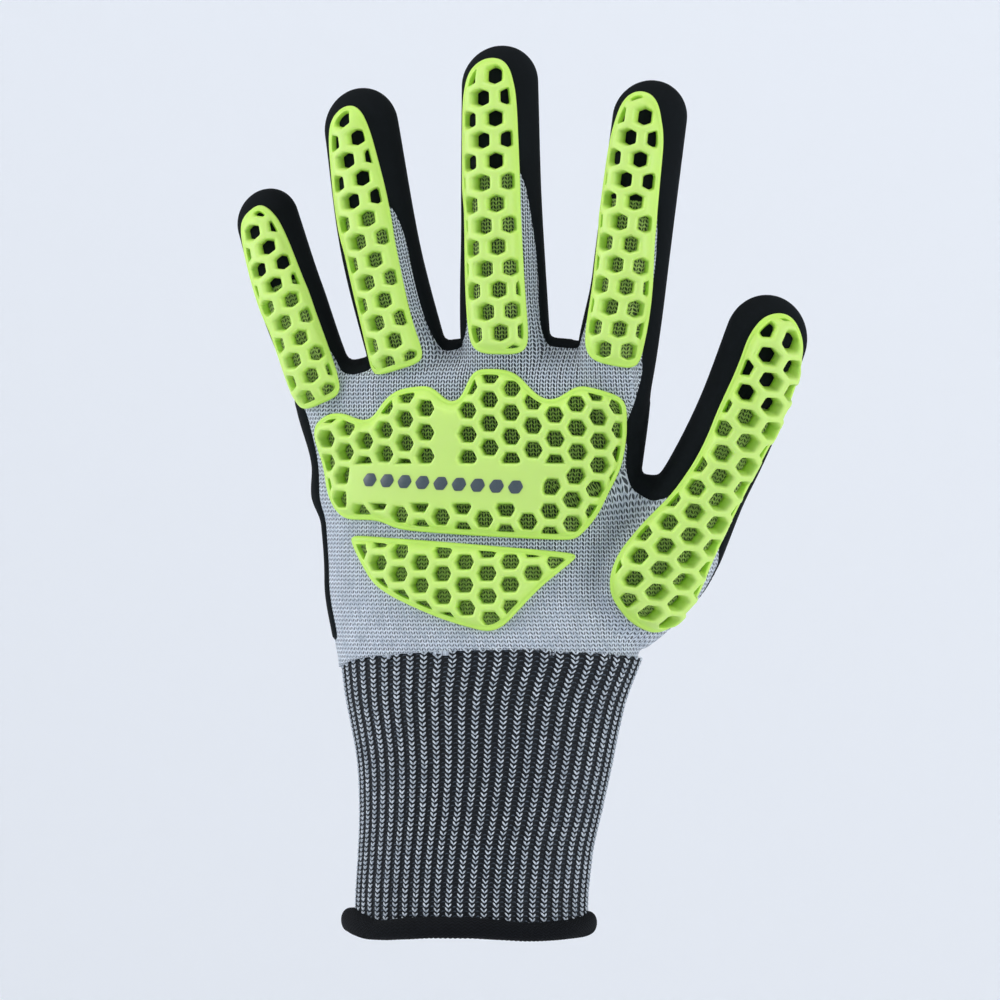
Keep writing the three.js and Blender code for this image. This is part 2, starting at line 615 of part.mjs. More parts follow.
// Moves a point back out to the given lift above the roots of the fingers where they stand prouder.
function raised(point, lift) {
  for (const name of ["little", "ring", "middle", "index"]) {
    const digit = DIGITS[name];
    const axes = digitAxes(digit);
    const from = point.clone().sub(new THREE.Vector3(...digit.root));
    const value = (column) => tableValue(digit.rows, "along", from.dot(axes.along), column);
    const aside = (from.dot(axes.level) - value("drift")) / (value("halfWidth") + lift);
    if (Math.abs(aside) < 1) {
      const back = digit.root[1] + value("bow") - (value("halfDepth") + lift) * Math.sqrt(1 - aside * aside);
      point.y = Math.min(point.y, back);
    }
  }
  return point;
}

// Point above a digit; where the digit runs into the palm the point stays above the palm's back as well.
function aboveDigit(digit, along, arc, lift) {
  const narrowing = Math.max(Math.cos(tipTurn(digit, along)), TIP_NARROWEST);
  const radius = (tableValue(digit.rows, "along", along, "halfWidth")
    + tableValue(digit.rows, "along", along, "halfDepth")) / 2 * narrowing;
  const point = digitPoint(digit, along, arc / radius, lift);
  const halfWidth = tableValue(PALM, "z", point.z, "halfWidth");
  const aside = (point.x - tableValue(PALM, "z", point.z, "middle")) / (halfWidth + lift);
  if (point.z < PALM_BACK_TOP && Math.abs(aside) < 1) {
    const surface = -(tableValue(PALM, "z", point.z, "back") + lift) * Math.sqrt(1 - aside * aside);
    point.y = Math.min(point.y, surface);
  }
  return point;
}

const hollow = handSolid(-KNIT_WALL, OVERRUN, INNER_PALM_SEGMENTS, INNER_FINGER_SEGMENTS);
const shell = handSolid(0, 0).subtract(hollow);

// Dip: a thin skin over the whole hand, kept only where a region of the palm or of a digit reaches it.
const dip = handSolid(PIECE_GAP + COATING_THICKNESS, 0).subtract(handSolid(PIECE_GAP, OVERRUN));
const regions = PALM_COATS.map((coat) => boxSolid(
  [coat.from, coat.back, coat.bottom],
  [coat.to, COAT_REACH, coat.top],
));
for (const digit of Object.values(DIGITS)) {
  regions.push(...digit.coats.map((coat) => coatedDigitRegion(digit, coat)));
}
const reached = regions.reduce((sum, region) => sum.add(region));
const aboveStart = boxSolid([-150, -COAT_REACH, COATING_START], [150, COAT_REACH, 300]);
const coating = dip.intersect(reached.intersect(aboveStart));

// Cuff: the outer face rises and falls once for each rib.
function cuffRing(row, count, lift, ribbed, isTop) {
  return ringOf(count, (angle) => {
    const ribs = ribbed ? (Math.cos(angle * RIB_COUNT) > 0 ? RIB_RELIEF : 0) : 0;
    return new THREE.Vector3(
      row.middle + (row.halfWidth + lift + ribs) * Math.sin(angle),
      -(row.halfDepth + lift + ribs) * Math.cos(angle),
      row.z + (isTop ? cuffArch(angle) : 0),
    );
  });
}
const top = CUFF[CUFF.length - 1];
const cuffOuter = CUFF.map((row) => cuffRing(row, RIB_COUNT * 2, 0, true, row === top));
const cuffInner = [
  { ...CUFF[0], z: CUFF[0].z - OVERRUN },
  CUFF[0],
  CUFF[2],
  { ...top, z: top.z + 2 * OVERRUN },
].map((row) => cuffRing(row, RIB_COUNT / 2, -CUFF_WALL, false, false));
const cuff = stackSolid(cuffOuter).subtract(stackSolid(cuffInner));

// Hem: a rolled band under the cuff, an oval cross-section carried round the mouth.
const hemVertices = [];
for (const p of cuffRing({ ...CUFF[0], z: 0 }, HEM_SEGMENTS, 0, false, false)) {
  const out = new THREE.Vector3(p.x - CUFF[0].middle, p.y, 0).normalize();
  for (let k = 0; k < HEM_PROFILE; k += 1) {
    const angle = ((k + 0.5) / HEM_PROFILE) * 2 * Math.PI;
    const height = (HEM_HEIGHT / 2) * (1 + Math.sin(angle) / Math.cos(Math.PI / HEM_PROFILE));
    const outward = HEM_OUT + HEM_HALF_THICKNESS * Math.cos(angle);
    hemVertices.push(p.clone().addScaledVector(out, outward).setZ(height));
  }
}
const hemTriangles = [];
for (let i = 0; i < HEM_SEGMENTS; i += 1) {
  for (let k = 0; k < HEM_PROFILE; k += 1) {
    const a = i * HEM_PROFILE + k;
    const b = i * HEM_PROFILE + ((k + 1) % HEM_PROFILE);
    const c = ((i + 1) % HEM_SEGMENTS) * HEM_PROFILE + k;
    const d = ((i + 1) % HEM_SEGMENTS) * HEM_PROFILE + ((k + 1) % HEM_PROFILE);
    hemTriangles.push([a, c, d], [a, d, b]);
  }
}
const hem = orient(hemVertices, hemTriangles);

const group = new THREE.Group();

function addPiece(name, solid, colour, roughness) {
  const mesh = solid.getMesh();
  const geometry = new THREE.BufferGeometry();
  geometry.setAttribute("position", new THREE.BufferAttribute(new Float32Array(mesh.vertProperties), 3));
  geometry.setIndex(new THREE.BufferAttribute(new Uint32Array(mesh.triVerts), 1));
  geometry.computeVertexNormals();
  const material = new THREE.MeshStandardMaterial({ color: colour, roughness, metalness: 0 });
  const piece = new THREE.Mesh(geometry, material);
  piece.name = name;
  group.add(piece);
}

addPiece("knit_shell", shell, KNIT_GREY, CLOTH_ROUGHNESS);
addPiece("palm_coating", coating, FOAM_BLACK, FOAM_ROUGHNESS);
addPiece("rib_cuff", cuff, RIB_GREY, CLOTH_ROUGHNESS);
addPiece("cuff_hem", hem, HEM_BLACK, CLOTH_ROUGHNESS);

for (const [name, guard] of Object.entries(DIGIT_GUARDS)) {
  const digit = DIGITS[name];
  const outline = [
    ...guard.rows.map((row) => new THREE.Vector2(row.left, row.along)),
    ...[...guard.rows].reverse().map((row) => new THREE.Vector2(row.right, row.along)),
  ];
  const riseFrom = digit.coatedFrom - GUARD_RISE_FROM;
  const riseTo = digit.coatedFrom - GUARD_RISE_TO;
  const liftAt = (along) => mix(GUARD_LIFT_KNIT, GUARD_LIFT_COATED,
    THREE.MathUtils.smoothstep(along, riseFrom, riseTo));
  const place = (along, arc, lift) => aboveDigit(digit, along, arc, lift);
  const cells = hexCells(outline, guard.cells, true, () => false);
  const title = name === "thumb" ? "thumb_guard" : `${name}_finger_guard`;
  const guardPiece = guardSolid(outline, cells.holes, cells.studs, place, liftAt);
  addPiece(title, guardPiece, GUARD_LIME, GUARD_ROUGHNESS);
}
for (const [name, guard] of Object.entries(BACK_GUARDS)) {
  const outline = guard.corners.map((corner) => new THREE.Vector2(corner.arc, corner.z));
  const plain = guard.plain;
  const keepOut = (arc, z) => plain !== undefined
    && Math.abs(arc - plain.arc) < plain.halfWidth && Math.abs(z - plain.z) < plain.halfHeight;
  const cells = hexCells(outline, guard.cells, false, keepOut);
  const guardPiece = guardSolid(outline, cells.holes, cells.studs, abovePalm, () => GUARD_LIFT_KNIT);
  addPiece(name, guardPiece, GUARD_LIME, GUARD_ROUGHNESS);
}

export default group;
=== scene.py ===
import bpy
import math
import numpy as np
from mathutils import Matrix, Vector
from mathutils.geometry import delaunay_2d_cdt


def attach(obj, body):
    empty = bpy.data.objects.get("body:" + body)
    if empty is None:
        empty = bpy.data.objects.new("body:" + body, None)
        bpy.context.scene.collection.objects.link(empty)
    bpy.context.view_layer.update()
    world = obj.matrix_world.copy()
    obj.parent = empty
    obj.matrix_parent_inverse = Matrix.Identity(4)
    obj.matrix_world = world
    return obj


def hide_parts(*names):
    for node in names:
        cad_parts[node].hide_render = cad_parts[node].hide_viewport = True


# Knitted work glove with a foam-dipped palm and moulded honeycomb guards, in the form it has on a hand.
# Sizes are in millimetres and turn to metres where a mesh is made. Z runs from the cuff mouth to the
# fingertips, -Y is the back of the hand, +X is the thumb side.
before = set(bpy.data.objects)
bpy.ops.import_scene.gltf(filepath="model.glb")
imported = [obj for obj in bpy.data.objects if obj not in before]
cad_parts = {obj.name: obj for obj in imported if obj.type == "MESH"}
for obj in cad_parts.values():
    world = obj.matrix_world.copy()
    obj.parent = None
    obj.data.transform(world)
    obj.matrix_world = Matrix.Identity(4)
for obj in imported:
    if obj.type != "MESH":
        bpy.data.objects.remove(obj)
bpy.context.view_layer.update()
mm = 0.001
random = np.random.default_rng(7)


def linearColour(hexText):
    # sRGB to linear: a twelfth of the value up to 0.04, above that ((value + 0.055) / 1.055) to the power 2.4
    value = np.array([int(hexText[i:i + 2], 16) for i in (1, 3, 5)]) / 255.0
    value = np.where(value <= 0.04045, value / 12.92, ((value + 0.055) / 1.055) ** 2.4)
    return (float(value[0]), float(value[1]), float(value[2]), 1.0)


def addNode(material, kind, inputs=None, **settings):
    # inputs gives each socket a value, a hex colour, a node whose first output is linked to it, or a pair of a
    # node and the name of its output
    made = material.node_tree.nodes.new("ShaderNode" + kind)
    for name, value in settings.items():
        setattr(made, name, value)
    for socket, value in (inputs or {}).items():
        if isinstance(value, bpy.types.Node):
            value = (value, 0)
        if isinstance(value, tuple) and isinstance(value[0], bpy.types.Node):
            material.node_tree.links.new(value[0].outputs[value[1]], made.inputs[socket])
        else:
            made.inputs[socket].default_value = linearColour(value) if isinstance(value, str) else value
    return made


def newMaterial(name, **sockets):
    # the shader's own sockets hold what is the same all over
    material = bpy.data.materials.new(name)
    material.use_nodes = True
    shader = material.node_tree.nodes["Principled BSDF"]
    for socket, value in sockets.items():
        value = linearColour(value) if isinstance(value, str) else value
        shader.inputs[socket.replace("_", " ")].default_value = value
    return material, shader


def finishSurface(material, shader, factor, low, high, height=None, strength=0.0, distance=0.0):
    # base colour from low to high by the factor; where a height is given, relief as deep as distance, in metres
    tone = addNode(material, "Mix", {"Factor": factor, 6: low, 7: high}, data_type="RGBA")
    material.node_tree.links.new(tone.outputs[2], shader.inputs["Base Color"])
    if height is not None:
        bump = addNode(material, "Bump", {"Height": height, "Strength": strength, "Distance": distance})
        material.node_tree.links.new(bump.outputs[0], shader.inputs["Normal"])


def smoothStep(low, high, value):
    # 0 below low, 1 above high, 3t^2 - 2t^3 between
    t = np.clip((value - low) / (high - low), 0.0, 1.0)
    return t * t * (3.0 - 2.0 * t)


def alongTable(table, key, column, at):
    # cubic through the rows, level past both ends; the slope at a row is the harmonic mean of those to its
    # neighbours, or none where they differ in sign, so nothing bulges between rows
    keys = np.asarray(table[key], float)
    values = np.asarray(table[column], float)
    secants = np.diff(values) / np.diff(keys)
    before, after = secants[:-1], secants[1:]
    total = np.where(before * after > 0, before + after, 1.0)
    inner = np.where(before * after > 0, 2 * before * after / total, 0.0)
    slopes = np.concatenate([secants[:1], inner, secants[-1:]])
    at = np.clip(at, keys[0], keys[-1])
    i = np.clip(np.searchsorted(keys, at) - 1, 0, len(keys) - 2)
    step = keys[i + 1] - keys[i]
    t = (at - keys[i]) / step
    return ((2 * t ** 3 - 3 * t ** 2 + 1) * values[i] + (t ** 3 - 2 * t ** 2 + t) * step * slopes[i]
            + (3 * t ** 2 - 2 * t ** 3) * values[i + 1] + (t ** 3 - t ** 2) * step * slopes[i + 1])


def gridQuads(rows, columns, wrap=True):
    # faces between neighbouring rows of a grid, whose columns may close to a ring
    across = columns if wrap else columns - 1
    r, c = np.meshgrid(np.arange(rows - 1), np.arange(across), indexing="ij")
    nextColumn = (c + 1) % columns
    quads = np.stack([r * columns + c, r * columns + nextColumn,
                      (r + 1) * columns + nextColumn, (r + 1) * columns + c], -1)
    return quads.reshape(-1, 4)


def meshOf(name, points, quads, triangles=None):
    # point arrays in millimetres, faces as index arrays
    triangles = np.zeros((0, 3), int) if triangles is None else np.asarray(triangles, int)
    quads = np.asarray(quads, int).reshape(-1, 4)
    corners = np.concatenate([quads.ravel(), triangles.ravel()]).astype(np.int32)
    starts = np.concatenate([np.arange(len(quads)) * 4, quads.size + np.arange(len(triangles)) * 3])
    mesh = bpy.data.meshes.new(name)
    mesh.vertices.add(len(points))
    mesh.vertices.foreach_set("co", (np.asarray(points) * mm).ravel().astype(np.float32))
    mesh.loops.add(len(corners))
    mesh.loops.foreach_set("vertex_index", corners)
    mesh.polygons.add(len(starts))
    mesh.polygons.foreach_set("loop_start", starts.astype(np.int32))
    mesh.update(calc_edges=True)
    mesh.validate()
    mesh.shade_smooth()
    return mesh


def setMap(mesh, name, perCorner):
    # a UV map in millimetres on the surface, from one pair for each face corner
    layer = mesh.uv_layers.new(name=name)
    layer.uv.foreach_set("vector", np.asarray(perCorner, np.float32).ravel())


def setValue(mesh, name, values):
    # one number for each vertex, for a material to read
    layer = mesh.attributes.new(name, "FLOAT", "POINT")
    layer.data.foreach_set("value", np.asarray(values, np.float32))


def addPiece(name, mesh, material, slotName, *nodes):
    # an object at the origin that rides on the glove's one body and stands for the named CAD nodes
    piece = bpy.data.objects.new(name, mesh)
    bpy.context.scene.collection.objects.link(piece)
    mesh.materials.append(material)
    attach(piece, "root")
    if nodes:
        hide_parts(*nodes)
    return piece


def thicken(piece, thickness):
    # a wall inwards from the piece's outer face
    wall = piece.modifiers.new("wall", "SOLIDIFY")
    wall.thickness = thickness * mm
    wall.offset = -1.0


# the hand's form, shared by the fabric, the dip and the guards
palm = {
    "z": [79.9, 102, 118, 126, 135, 150, 160, 164, 168],
    "middle": [5.4, 1.5, 1.5, 1.0, 1.9, 0.8, 0.2, 7.5, 13],
    "halfWidth": [43.9, 43.9, 45.0, 47.4, 48.3, 51.5, 53, 43.5, 34],
    "back": [24, 20, 18.5, 18.0, 17.5, 16.5, 14.6, 10.5, 5],
    "palm": [22, 21.5, 20.5, 19.6, 18.5, 15.4, 12, 8.5, 4.5],
    "top": 170.5,
    "start": 73,
}
digits = {
    "little": {"root": (-43.3, -3.5, 160.5), "lean": -22.5, "roll": -4, "cap": 9.0,
               "along": [-24, 0, 25, 48.2], "halfWidth": [8.5, 8.5, 9.2, 8.7],
               "halfDepth": [9.5, 8.8, 8.2, 7.6], "bow": [3, 0, 2.5, 9.5], "drift": [2.5, 0, -0.5, -1]},
    "ring": {"root": (-16.9, -4, 165), "lean": -13.35, "roll": -2, "cap": 11.2,
             "along": [-24, 0, 35, 68.5], "halfWidth": [11, 10.9, 10.9, 10.3],
             "halfDepth": [11, 10.2, 9.6, 8.9], "bow": [2, 0, 2.5, 10], "drift": [1, 0, -1.7, -1.7]},
    "middle": {"root": (11.85, -4.5, 169.5), "lean": -3.45, "roll": 0, "cap": 10.7,
               "along": [-24, 0, 38, 74.1], "halfWidth": [12.3, 12.3, 11.1, 10.5],
               "halfDepth": [11.5, 10.8, 10, 9.2], "bow": [1.5, 0, 2.5, 10.5], "drift": [0, 0, 0.4, -0.2]},
    "index": {"root": (44.8, -4, 168), "lean": 6.05, "roll": 2, "cap": 10.4,
              "along": [-24, 0, 20, 65.7], "halfWidth": [9.4, 10.8, 10.1, 10.1],
              "halfDepth": [8.5, 10.6, 9.9, 9], "bow": [2.5, 0, 1, 10], "drift": [-1, 0, 1.1, 0.1]},
    "thumb": {"root": (69.6, 4, 132), "lean": 22, "roll": 48, "cap": 11.9,
              "along": [-57, -52, -34, 0, 20, 41.7], "halfWidth": [8.5, 14, 17, 11.7, 11.7, 11.6],
              "halfDepth": [9, 13, 14.5, 12, 11, 10.2], "bow": [0, 0, 0, 0, 0.5, 2.5],
              "drift": [-15, -12.5, -6.5, 0, 1.8, 2.4]},
}
# webs between neighbours: middle and half sizes of an egg that fills the crotch
webs = {
    "thumb": {"middle": (51.8, 3.5, 118.8), "half": (10.0, 8.5, 13.0)},
}
cuffShape = {
    "z": [3.5, 8.1, 24, 38, 52, 66, 79.6], "middle": [0.4, 0.4, 1.5, 3.3, 4.4, 4.6, 6.2],
    "halfWidth": [33.3, 33.3, 33.6, 35.0, 37.0, 40.0, 43.6],
    "halfDepth": [22.8, 22.8, 22.9, 23.1, 23.3, 23.4, 23.2],
}

# the line between cuff and hand by the angle from the back's middle: highest on the back
seamLine = {
    "angle": [-180, -130, -100, -74, -55, -38, -10, 15, 60, 100, 140, 180],
    "z": [78.2, 77.4, 77.0, 77.5, 79.3, 80.7, 82.1, 82.6, 81.3, 79.6, 78.6, 78.2],
}


def seamHeight(angle):
    return alongTable(seamLine, "angle", "z", (np.degrees(angle) + 180) % 360 - 180)


def palmPoint(z, angle, lift):
    # half ellipses for back and palm at each height; angle 0 is the back's middle line
    depth = np.where(np.cos(angle) > 0, alongTable(palm, "z", "back", z), alongTable(palm, "z", "palm", z))
    x = alongTable(palm, "z", "middle", z) + (alongTable(palm, "z", "halfWidth", z) + lift) * np.sin(angle)
    return np.stack(np.broadcast_arrays(x, -(depth + lift) * np.cos(angle), z), -1)


def digitAxes(digit):
    # unit vectors along the digit, level across it, across its own nail, and out of its nail side
    lean, roll = math.radians(digit["lean"]), math.radians(digit["roll"])
    along = np.array([math.sin(lean), 0, math.cos(lean)])
    level = np.array([math.cos(lean), 0, -math.sin(lean)])
    side = level * math.cos(roll) + np.array([0, math.sin(roll), 0])
    back = level * math.sin(roll) + np.array([0, -math.cos(roll), 0])
    return along, level, side, back


def digitPoint(digit, along, angle, lift):
    # ellipses whose middle line bows and drifts; past the last row they shrink over a quarter circle
    axisAlong, level, side, back = digitAxes(digit)
    last = digit["along"][-1]
    tip = np.clip((along - last) / digit["cap"], 0, math.pi / 2)
    at = np.minimum(along, last)
    slope = (digit["bow"][-1] - digit["bow"][-2]) / (last - digit["along"][-2])
    up = at + np.sin(tip) * (digit["cap"] + lift)
    bow = alongTable(digit, "along", "bow", at) + np.sin(tip) * digit["cap"] * slope
    wide = (alongTable(digit, "along", "halfWidth", at) + lift) * np.cos(tip) * np.sin(angle)
    deep = (alongTable(digit, "along", "halfDepth", at) + lift) * np.cos(tip) * np.cos(angle) - bow
    drift = alongTable(digit, "along", "drift", at)
    terms = [(up, axisAlong), (drift, level), (wide, side), (deep, back)]
    return np.array(digit["root"]) + sum(np.asarray(amount)[..., None] * axis for amount, axis in terms)


def palmDistanceOf(points):
    # inverse of palmPoint: distance to the surface
    x, y, z = points.T
    offset = x - alongTable(palm, "z", "middle", z)
    wide = alongTable(palm, "z", "halfWidth", z)
    deep = np.where(y < 0, alongTable(palm, "z", "back", z), alongTable(palm, "z", "palm", z))
    gauge = np.hypot(offset / wide, y / deep)
    return (1 - 1 / np.maximum(gauge, 0.05)) * np.hypot(offset, y) + np.maximum(z - palm["top"], 0)


def digitPlace(digit, points):
    # inverse of digitPoint: distance to the surface, length along, and arc length from the nail's middle
    axisAlong, level, side, back = digitAxes(digit)
    local = points - np.array(digit["root"])
    up = local @ axisAlong
    last = digit["along"][-1]
    at = np.minimum(up, last)
    slope = (digit["bow"][-1] - digit["bow"][-2]) / (last - digit["along"][-2])
    bow = alongTable(digit, "along", "bow", at) + np.clip(up - last, 0, digit["cap"]) * slope
    local = local - alongTable(digit, "along", "drift", at)[:, None] * level + bow[:, None] * back
    wide = alongTable(digit, "along", "halfWidth", at)
    deep = alongTable(digit, "along", "halfDepth", at)
    acrossSide, acrossBack = local @ side, local @ back
    past = np.maximum(up - last, 0)
    gauge = np.sqrt((acrossSide / wide) ** 2 + (acrossBack / deep) ** 2 + (past / digit["cap"]) ** 2)
    reach = np.sqrt(acrossSide ** 2 + acrossBack ** 2 + past ** 2)
    distance = (1 - 1 / np.maximum(gauge, 0.05)) * reach + np.maximum(digit["along"][0] - up, 0)
    tip = np.arcsin(np.clip(past / digit["cap"] / np.maximum(gauge, 0.05), 0, 1))
    radius = (wide + deep) / 2 * np.maximum(np.cos(tip), 0.35)
    angle = np.arctan2(acrossSide / wide, acrossBack / deep)
    return distance, at + digit["cap"] * tip, angle * radius


# the wales' way round the hand
girth = {
    "top": 157.0,           # above this height the hand's girth is taken to go on as it is there
    "step": 2.0,            # mm and degrees between the entries of its table
    "roots": (144, 154),    # heights in mm where it turns to go by x alone, for the fingers' roots
    "leaves": 38.0,         # x where it leaves the palm's ellipse for the thumb's base
    "perX": 1.06,           # from there, length for each mm towards the thumb
    "perY": 0.5,            # and for each mm towards the palm
    "thumbFrom": (84, 96),  # heights where that begins, and where it ends
    "thumbTo": (140, 152),
}


def girthFrame(z, angle):
    # middle and half sizes of the palm's ellipse at a height; angle 0 is the back's middle line
    z = np.clip(z, palm["z"][0], girth["top"])
    deep = np.where(np.cos(angle) > 0, alongTable(palm, "z", "back", z), alongTable(palm, "z", "palm", z))
    return alongTable(palm, "z", "middle", z), alongTable(palm, "z", "halfWidth", z), deep


def girthTable():
    # at each height, the length along the palm's ellipse from the back's middle line to each angle
    heights = np.arange(72.0, 176.0, girth["step"])
    angles = np.radians(np.arange(-180, 181, girth["step"]))
    middle, wide, deep = girthFrame(heights[:, None], angles[None, :])
    outer = np.stack([middle + wide * np.sin(angles), deep * np.cos(angles)], -1)
    length = np.concatenate([np.zeros((len(heights), 1)),
                             np.cumsum(np.linalg.norm(np.diff(outer, axis=1), axis=2), 1)], 1)
    return heights, angles, length - length[:, [len(angles) // 2]]


def ellipseArc(z, angle):
    # between the four nearest entries of the table
    heights, angles, length = girths
    row = np.clip((z - heights[0]) / girth["step"], 0, len(heights) - 1.001)
    column = np.clip((angle - angles[0]) / math.radians(girth["step"]), 0, len(angles) - 1.001)
    i, j = row.astype(int), column.astype(int)
    s, t = row - i, column - j
    return ((1 - s) * ((1 - t) * length[i, j] + t * length[i, j + 1])
            + s * ((1 - t) * length[i + 1, j] + t * length[i + 1, j + 1]))


def girthArc(points, flatRoots=1.0):
    # length round the hand from the back's middle line; below the thumb's web it goes straight on from the
    # ellipse across the thumb's base
    x, y, z = points.T
    middle, wide, deep = girthFrame(z, (y > 0) * math.pi)
    aside = (x - middle) / wide
    byAngle = ellipseArc(z, np.arctan2(aside, -y / deep))
    # between the fingers' roots the surface dives into the crotches, so there the arc goes by x alone
    flat = np.arcsin(np.clip(aside, -1, 1))
    byWidth = ellipseArc(z, np.where(y > 0, np.where(aside < 0, -math.pi, math.pi) - flat, flat))
    weight = flatRoots * smoothStep(*girth["roots"], z) * (1 - smoothStep(0.95, 1.0, np.abs(aside)))
    along = byAngle * (1 - weight) + byWidth * weight
    leaves = girth["leaves"]
    straight = ellipseArc(z, np.arcsin(np.clip((leaves - middle) / wide, -1, 1)))
    straight = straight + girth["perX"] * (x - leaves) + girth["perY"] * np.maximum(y + 10, 0)
    weight = smoothStep(leaves - 5, leaves + 5, x)
    weight = weight * smoothStep(*girth["thumbFrom"], z) * (1 - smoothStep(*girth["thumbTo"], z))
    return along * (1 - weight) + straight * weight


# fabric: lofts of palm and digits, fused by a voxel remesh
fabric = {
    "voxel": 1.15,
    "smoothing": 9,
    "snap": 1.2,            # farthest that a point goes back out to its loft
    "wall": 1.3,
    "stitchWidth": 1.6,     # one wale
    "stitchHeight": 1.15,   # one course
    "rise": 0.65,           # how many courses a row climbs to its wale's crest
    "lean": 0.12,           # how far the crest moves off its wale's middle at 30 mm from the back's middle
}


def loftPoints(rings):
    # rings as one stack, closed at both ends by a fan round the ring's own middle
    rows, columns = rings.shape[:2]
    points = np.vstack([rings.reshape(-1, 3), rings[0].mean(0), rings[-1].mean(0)])
    low = np.arange(columns)
    bottomFan = np.stack([np.full(columns, rows * columns), (low + 1) % columns, low], -1)
    high = low + (rows - 1) * columns
    nextHigh = (low + 1) % columns + (rows - 1) * columns
    topFan = np.stack([np.full(columns, rows * columns + 1), high, nextHigh], -1)
    return points, gridQuads(rows, columns), np.vstack([bottomFan, topFan])


def handLofts():
    # palm rings every 2 mm, the last one drawn in; digit rings every 1.5 mm and round the tip
    angle = np.linspace(0, 2 * math.pi, 120, endpoint=False)
    heights = np.arange(palm["start"], 168.1, 2.0)[:, None]
    rings = palmPoint(np.maximum(heights, palm["z"][0]), angle[None, :], 0.0)
    rings[..., 2] = heights
    last = rings[-1].copy()
    last[:, 0] = palm["middle"][-1] + (last[:, 0] - palm["middle"][-1]) * 0.45
    last[:, 1] *= 0.45
    last[:, 2] = palm["top"]
    lofts = [loftPoints(np.concatenate([rings, last[None]]))]
    angle = np.linspace(0, 2 * math.pi, 56, endpoint=False)
    for digit in digits.values():
        end = digit["along"][-1] + digit["cap"] * math.radians(87)
        stations = np.linspace(digit["along"][0], end, int((end - digit["along"][0]) / 1.4))[:, None]
        lofts.append(loftPoints(digitPoint(digit, stations, angle[None, :], 0.0)))
    for web in webs.values():
        rise = np.radians(np.arange(-84, 85, 8.0))[:, None]
        egg = (np.cos(rise) * np.sin(angle), -np.cos(rise) * np.cos(angle), np.sin(rise))
        egg = np.stack(np.broadcast_arrays(*egg), -1)
        lofts.append(loftPoints(np.array(web["middle"]) + egg * np.array(web["half"])))
    return lofts


def fusedHand():
    # one object of all lofts, its voxel remesh, and a few rounds of smoothing for the crotches
    points, quads, triangles, start = [], [], [], 0
    for loft in handLofts():
        points.append(loft[0])
        quads.append(loft[1] + start)
        triangles.append(loft[2] + start)
        start += len(loft[0])
    mesh = meshOf("hand_lofts", np.vstack(points), np.vstack(quads), np.vstack(triangles))
    source = bpy.data.objects.new("hand_lofts", mesh)
    bpy.context.scene.collection.objects.link(source)
    remesh = source.modifiers.new("fuse", "REMESH")
    remesh.mode = "VOXEL"
    remesh.voxel_size = fabric["voxel"] * mm
    smooth = source.modifiers.new("ease", "SMOOTH")
    smooth.factor = 0.5
    smooth.iterations = fabric["smoothing"]
    evaluated = source.evaluated_get(bpy.context.evaluated_depsgraph_get())
    made = evaluated.to_mesh()
    out = np.empty(len(made.vertices) * 3)
    made.vertices.foreach_get("co", out)
    normals = np.empty(len(made.vertices) * 3)
    made.vertices.foreach_get("normal", normals)
    corners = np.empty(len(made.loops), np.int32)
    made.loops.foreach_get("vertex_index", corners)
    evaluated.to_mesh_clear()
    bpy.data.objects.remove(source)
    return out.reshape(-1, 3) / mm, normals.reshape(-1, 3), corners.reshape(-1, 4)


print("fusing the hand")
handPoints, handNormals, handQuads = fusedHand()
print("  vertices", len(handPoints))
girths = girthTable()
# smoothing draws round forms in, so points inside a loft go back out to its face
for _ in range(2):
    depths = [palmDistanceOf(handPoints) + 40 * smoothStep(153, 158, handPoints[:, 2])]  # not near its top
    depths += [digitPlace(digit, handPoints)[0] for digit in digits.values()]
    handPoints += handNormals * np.clip(-np.min(depths, 0), 0, fabric["snap"])[:, None]


def averaged(values, rounds):
    # each vertex takes half of its own value and half of its neighbours' mean, again and again
    pairs = np.unique(np.sort(np.concatenate([handQuads[:, [k, (k + 1) % 4]] for k in range(4)]), 1), axis=0)
    count = np.bincount(pairs.ravel(), minlength=len(values))
    for _ in range(rounds):
        total = np.bincount(pairs[:, 0], values[pairs[:, 1]], len(values))
        total += np.bincount(pairs[:, 1], values[pairs[:, 0]], len(values))
        values = 0.5 * values + 0.5 * total / count
    return values


# wales and courses: the hand's girth and each digit's own arcs, which agree at an anchor near the digit's root;
# blend gives where along the digit its arcs take over, and the anchor's place along and arc
handArc = girthArc(handPoints)
edgeArc = girthArc(handPoints, 0.0)     # for the dip's edge
digitNames = list(digits)
placed = {name: digitPlace(digits[name], handPoints) for name in digitNames}
distances = np.stack([placed[name][0] for name in digitNames])
faceDigit = distances[:, handQuads].mean(2).argmin(0)
nearestDigit = distances.argmin(0)
blend = {"thumb": (-24.0, 4.0, -12.0, 0.0), "others": (-4.0, 14.0, 0.0, 0.0)}
blendWeights, digitMaps = [], []
for name in digitNames:
    distance, along, arc = placed[name]
    low, high, anchorAlong, anchorArc = blend.get(name, blend["others"])
    anchor = digitPoint(digits[name], np.array([anchorAlong]), np.array([anchorArc / 12.0]), 0.0)
    anchorHandArc = girthArc(anchor)[0]
    digitMaps.append(np.stack([arc - anchorArc + anchorHandArc, along - anchorAlong + anchor[0, 2]], -1))
    blendWeights.append(smoothStep(low, high, along))
blendWeights = np.stack(blendWeights)
digitMaps = np.stack(digitMaps)
handMap = np.stack([handArc, handPoints[:, 2]], -1)

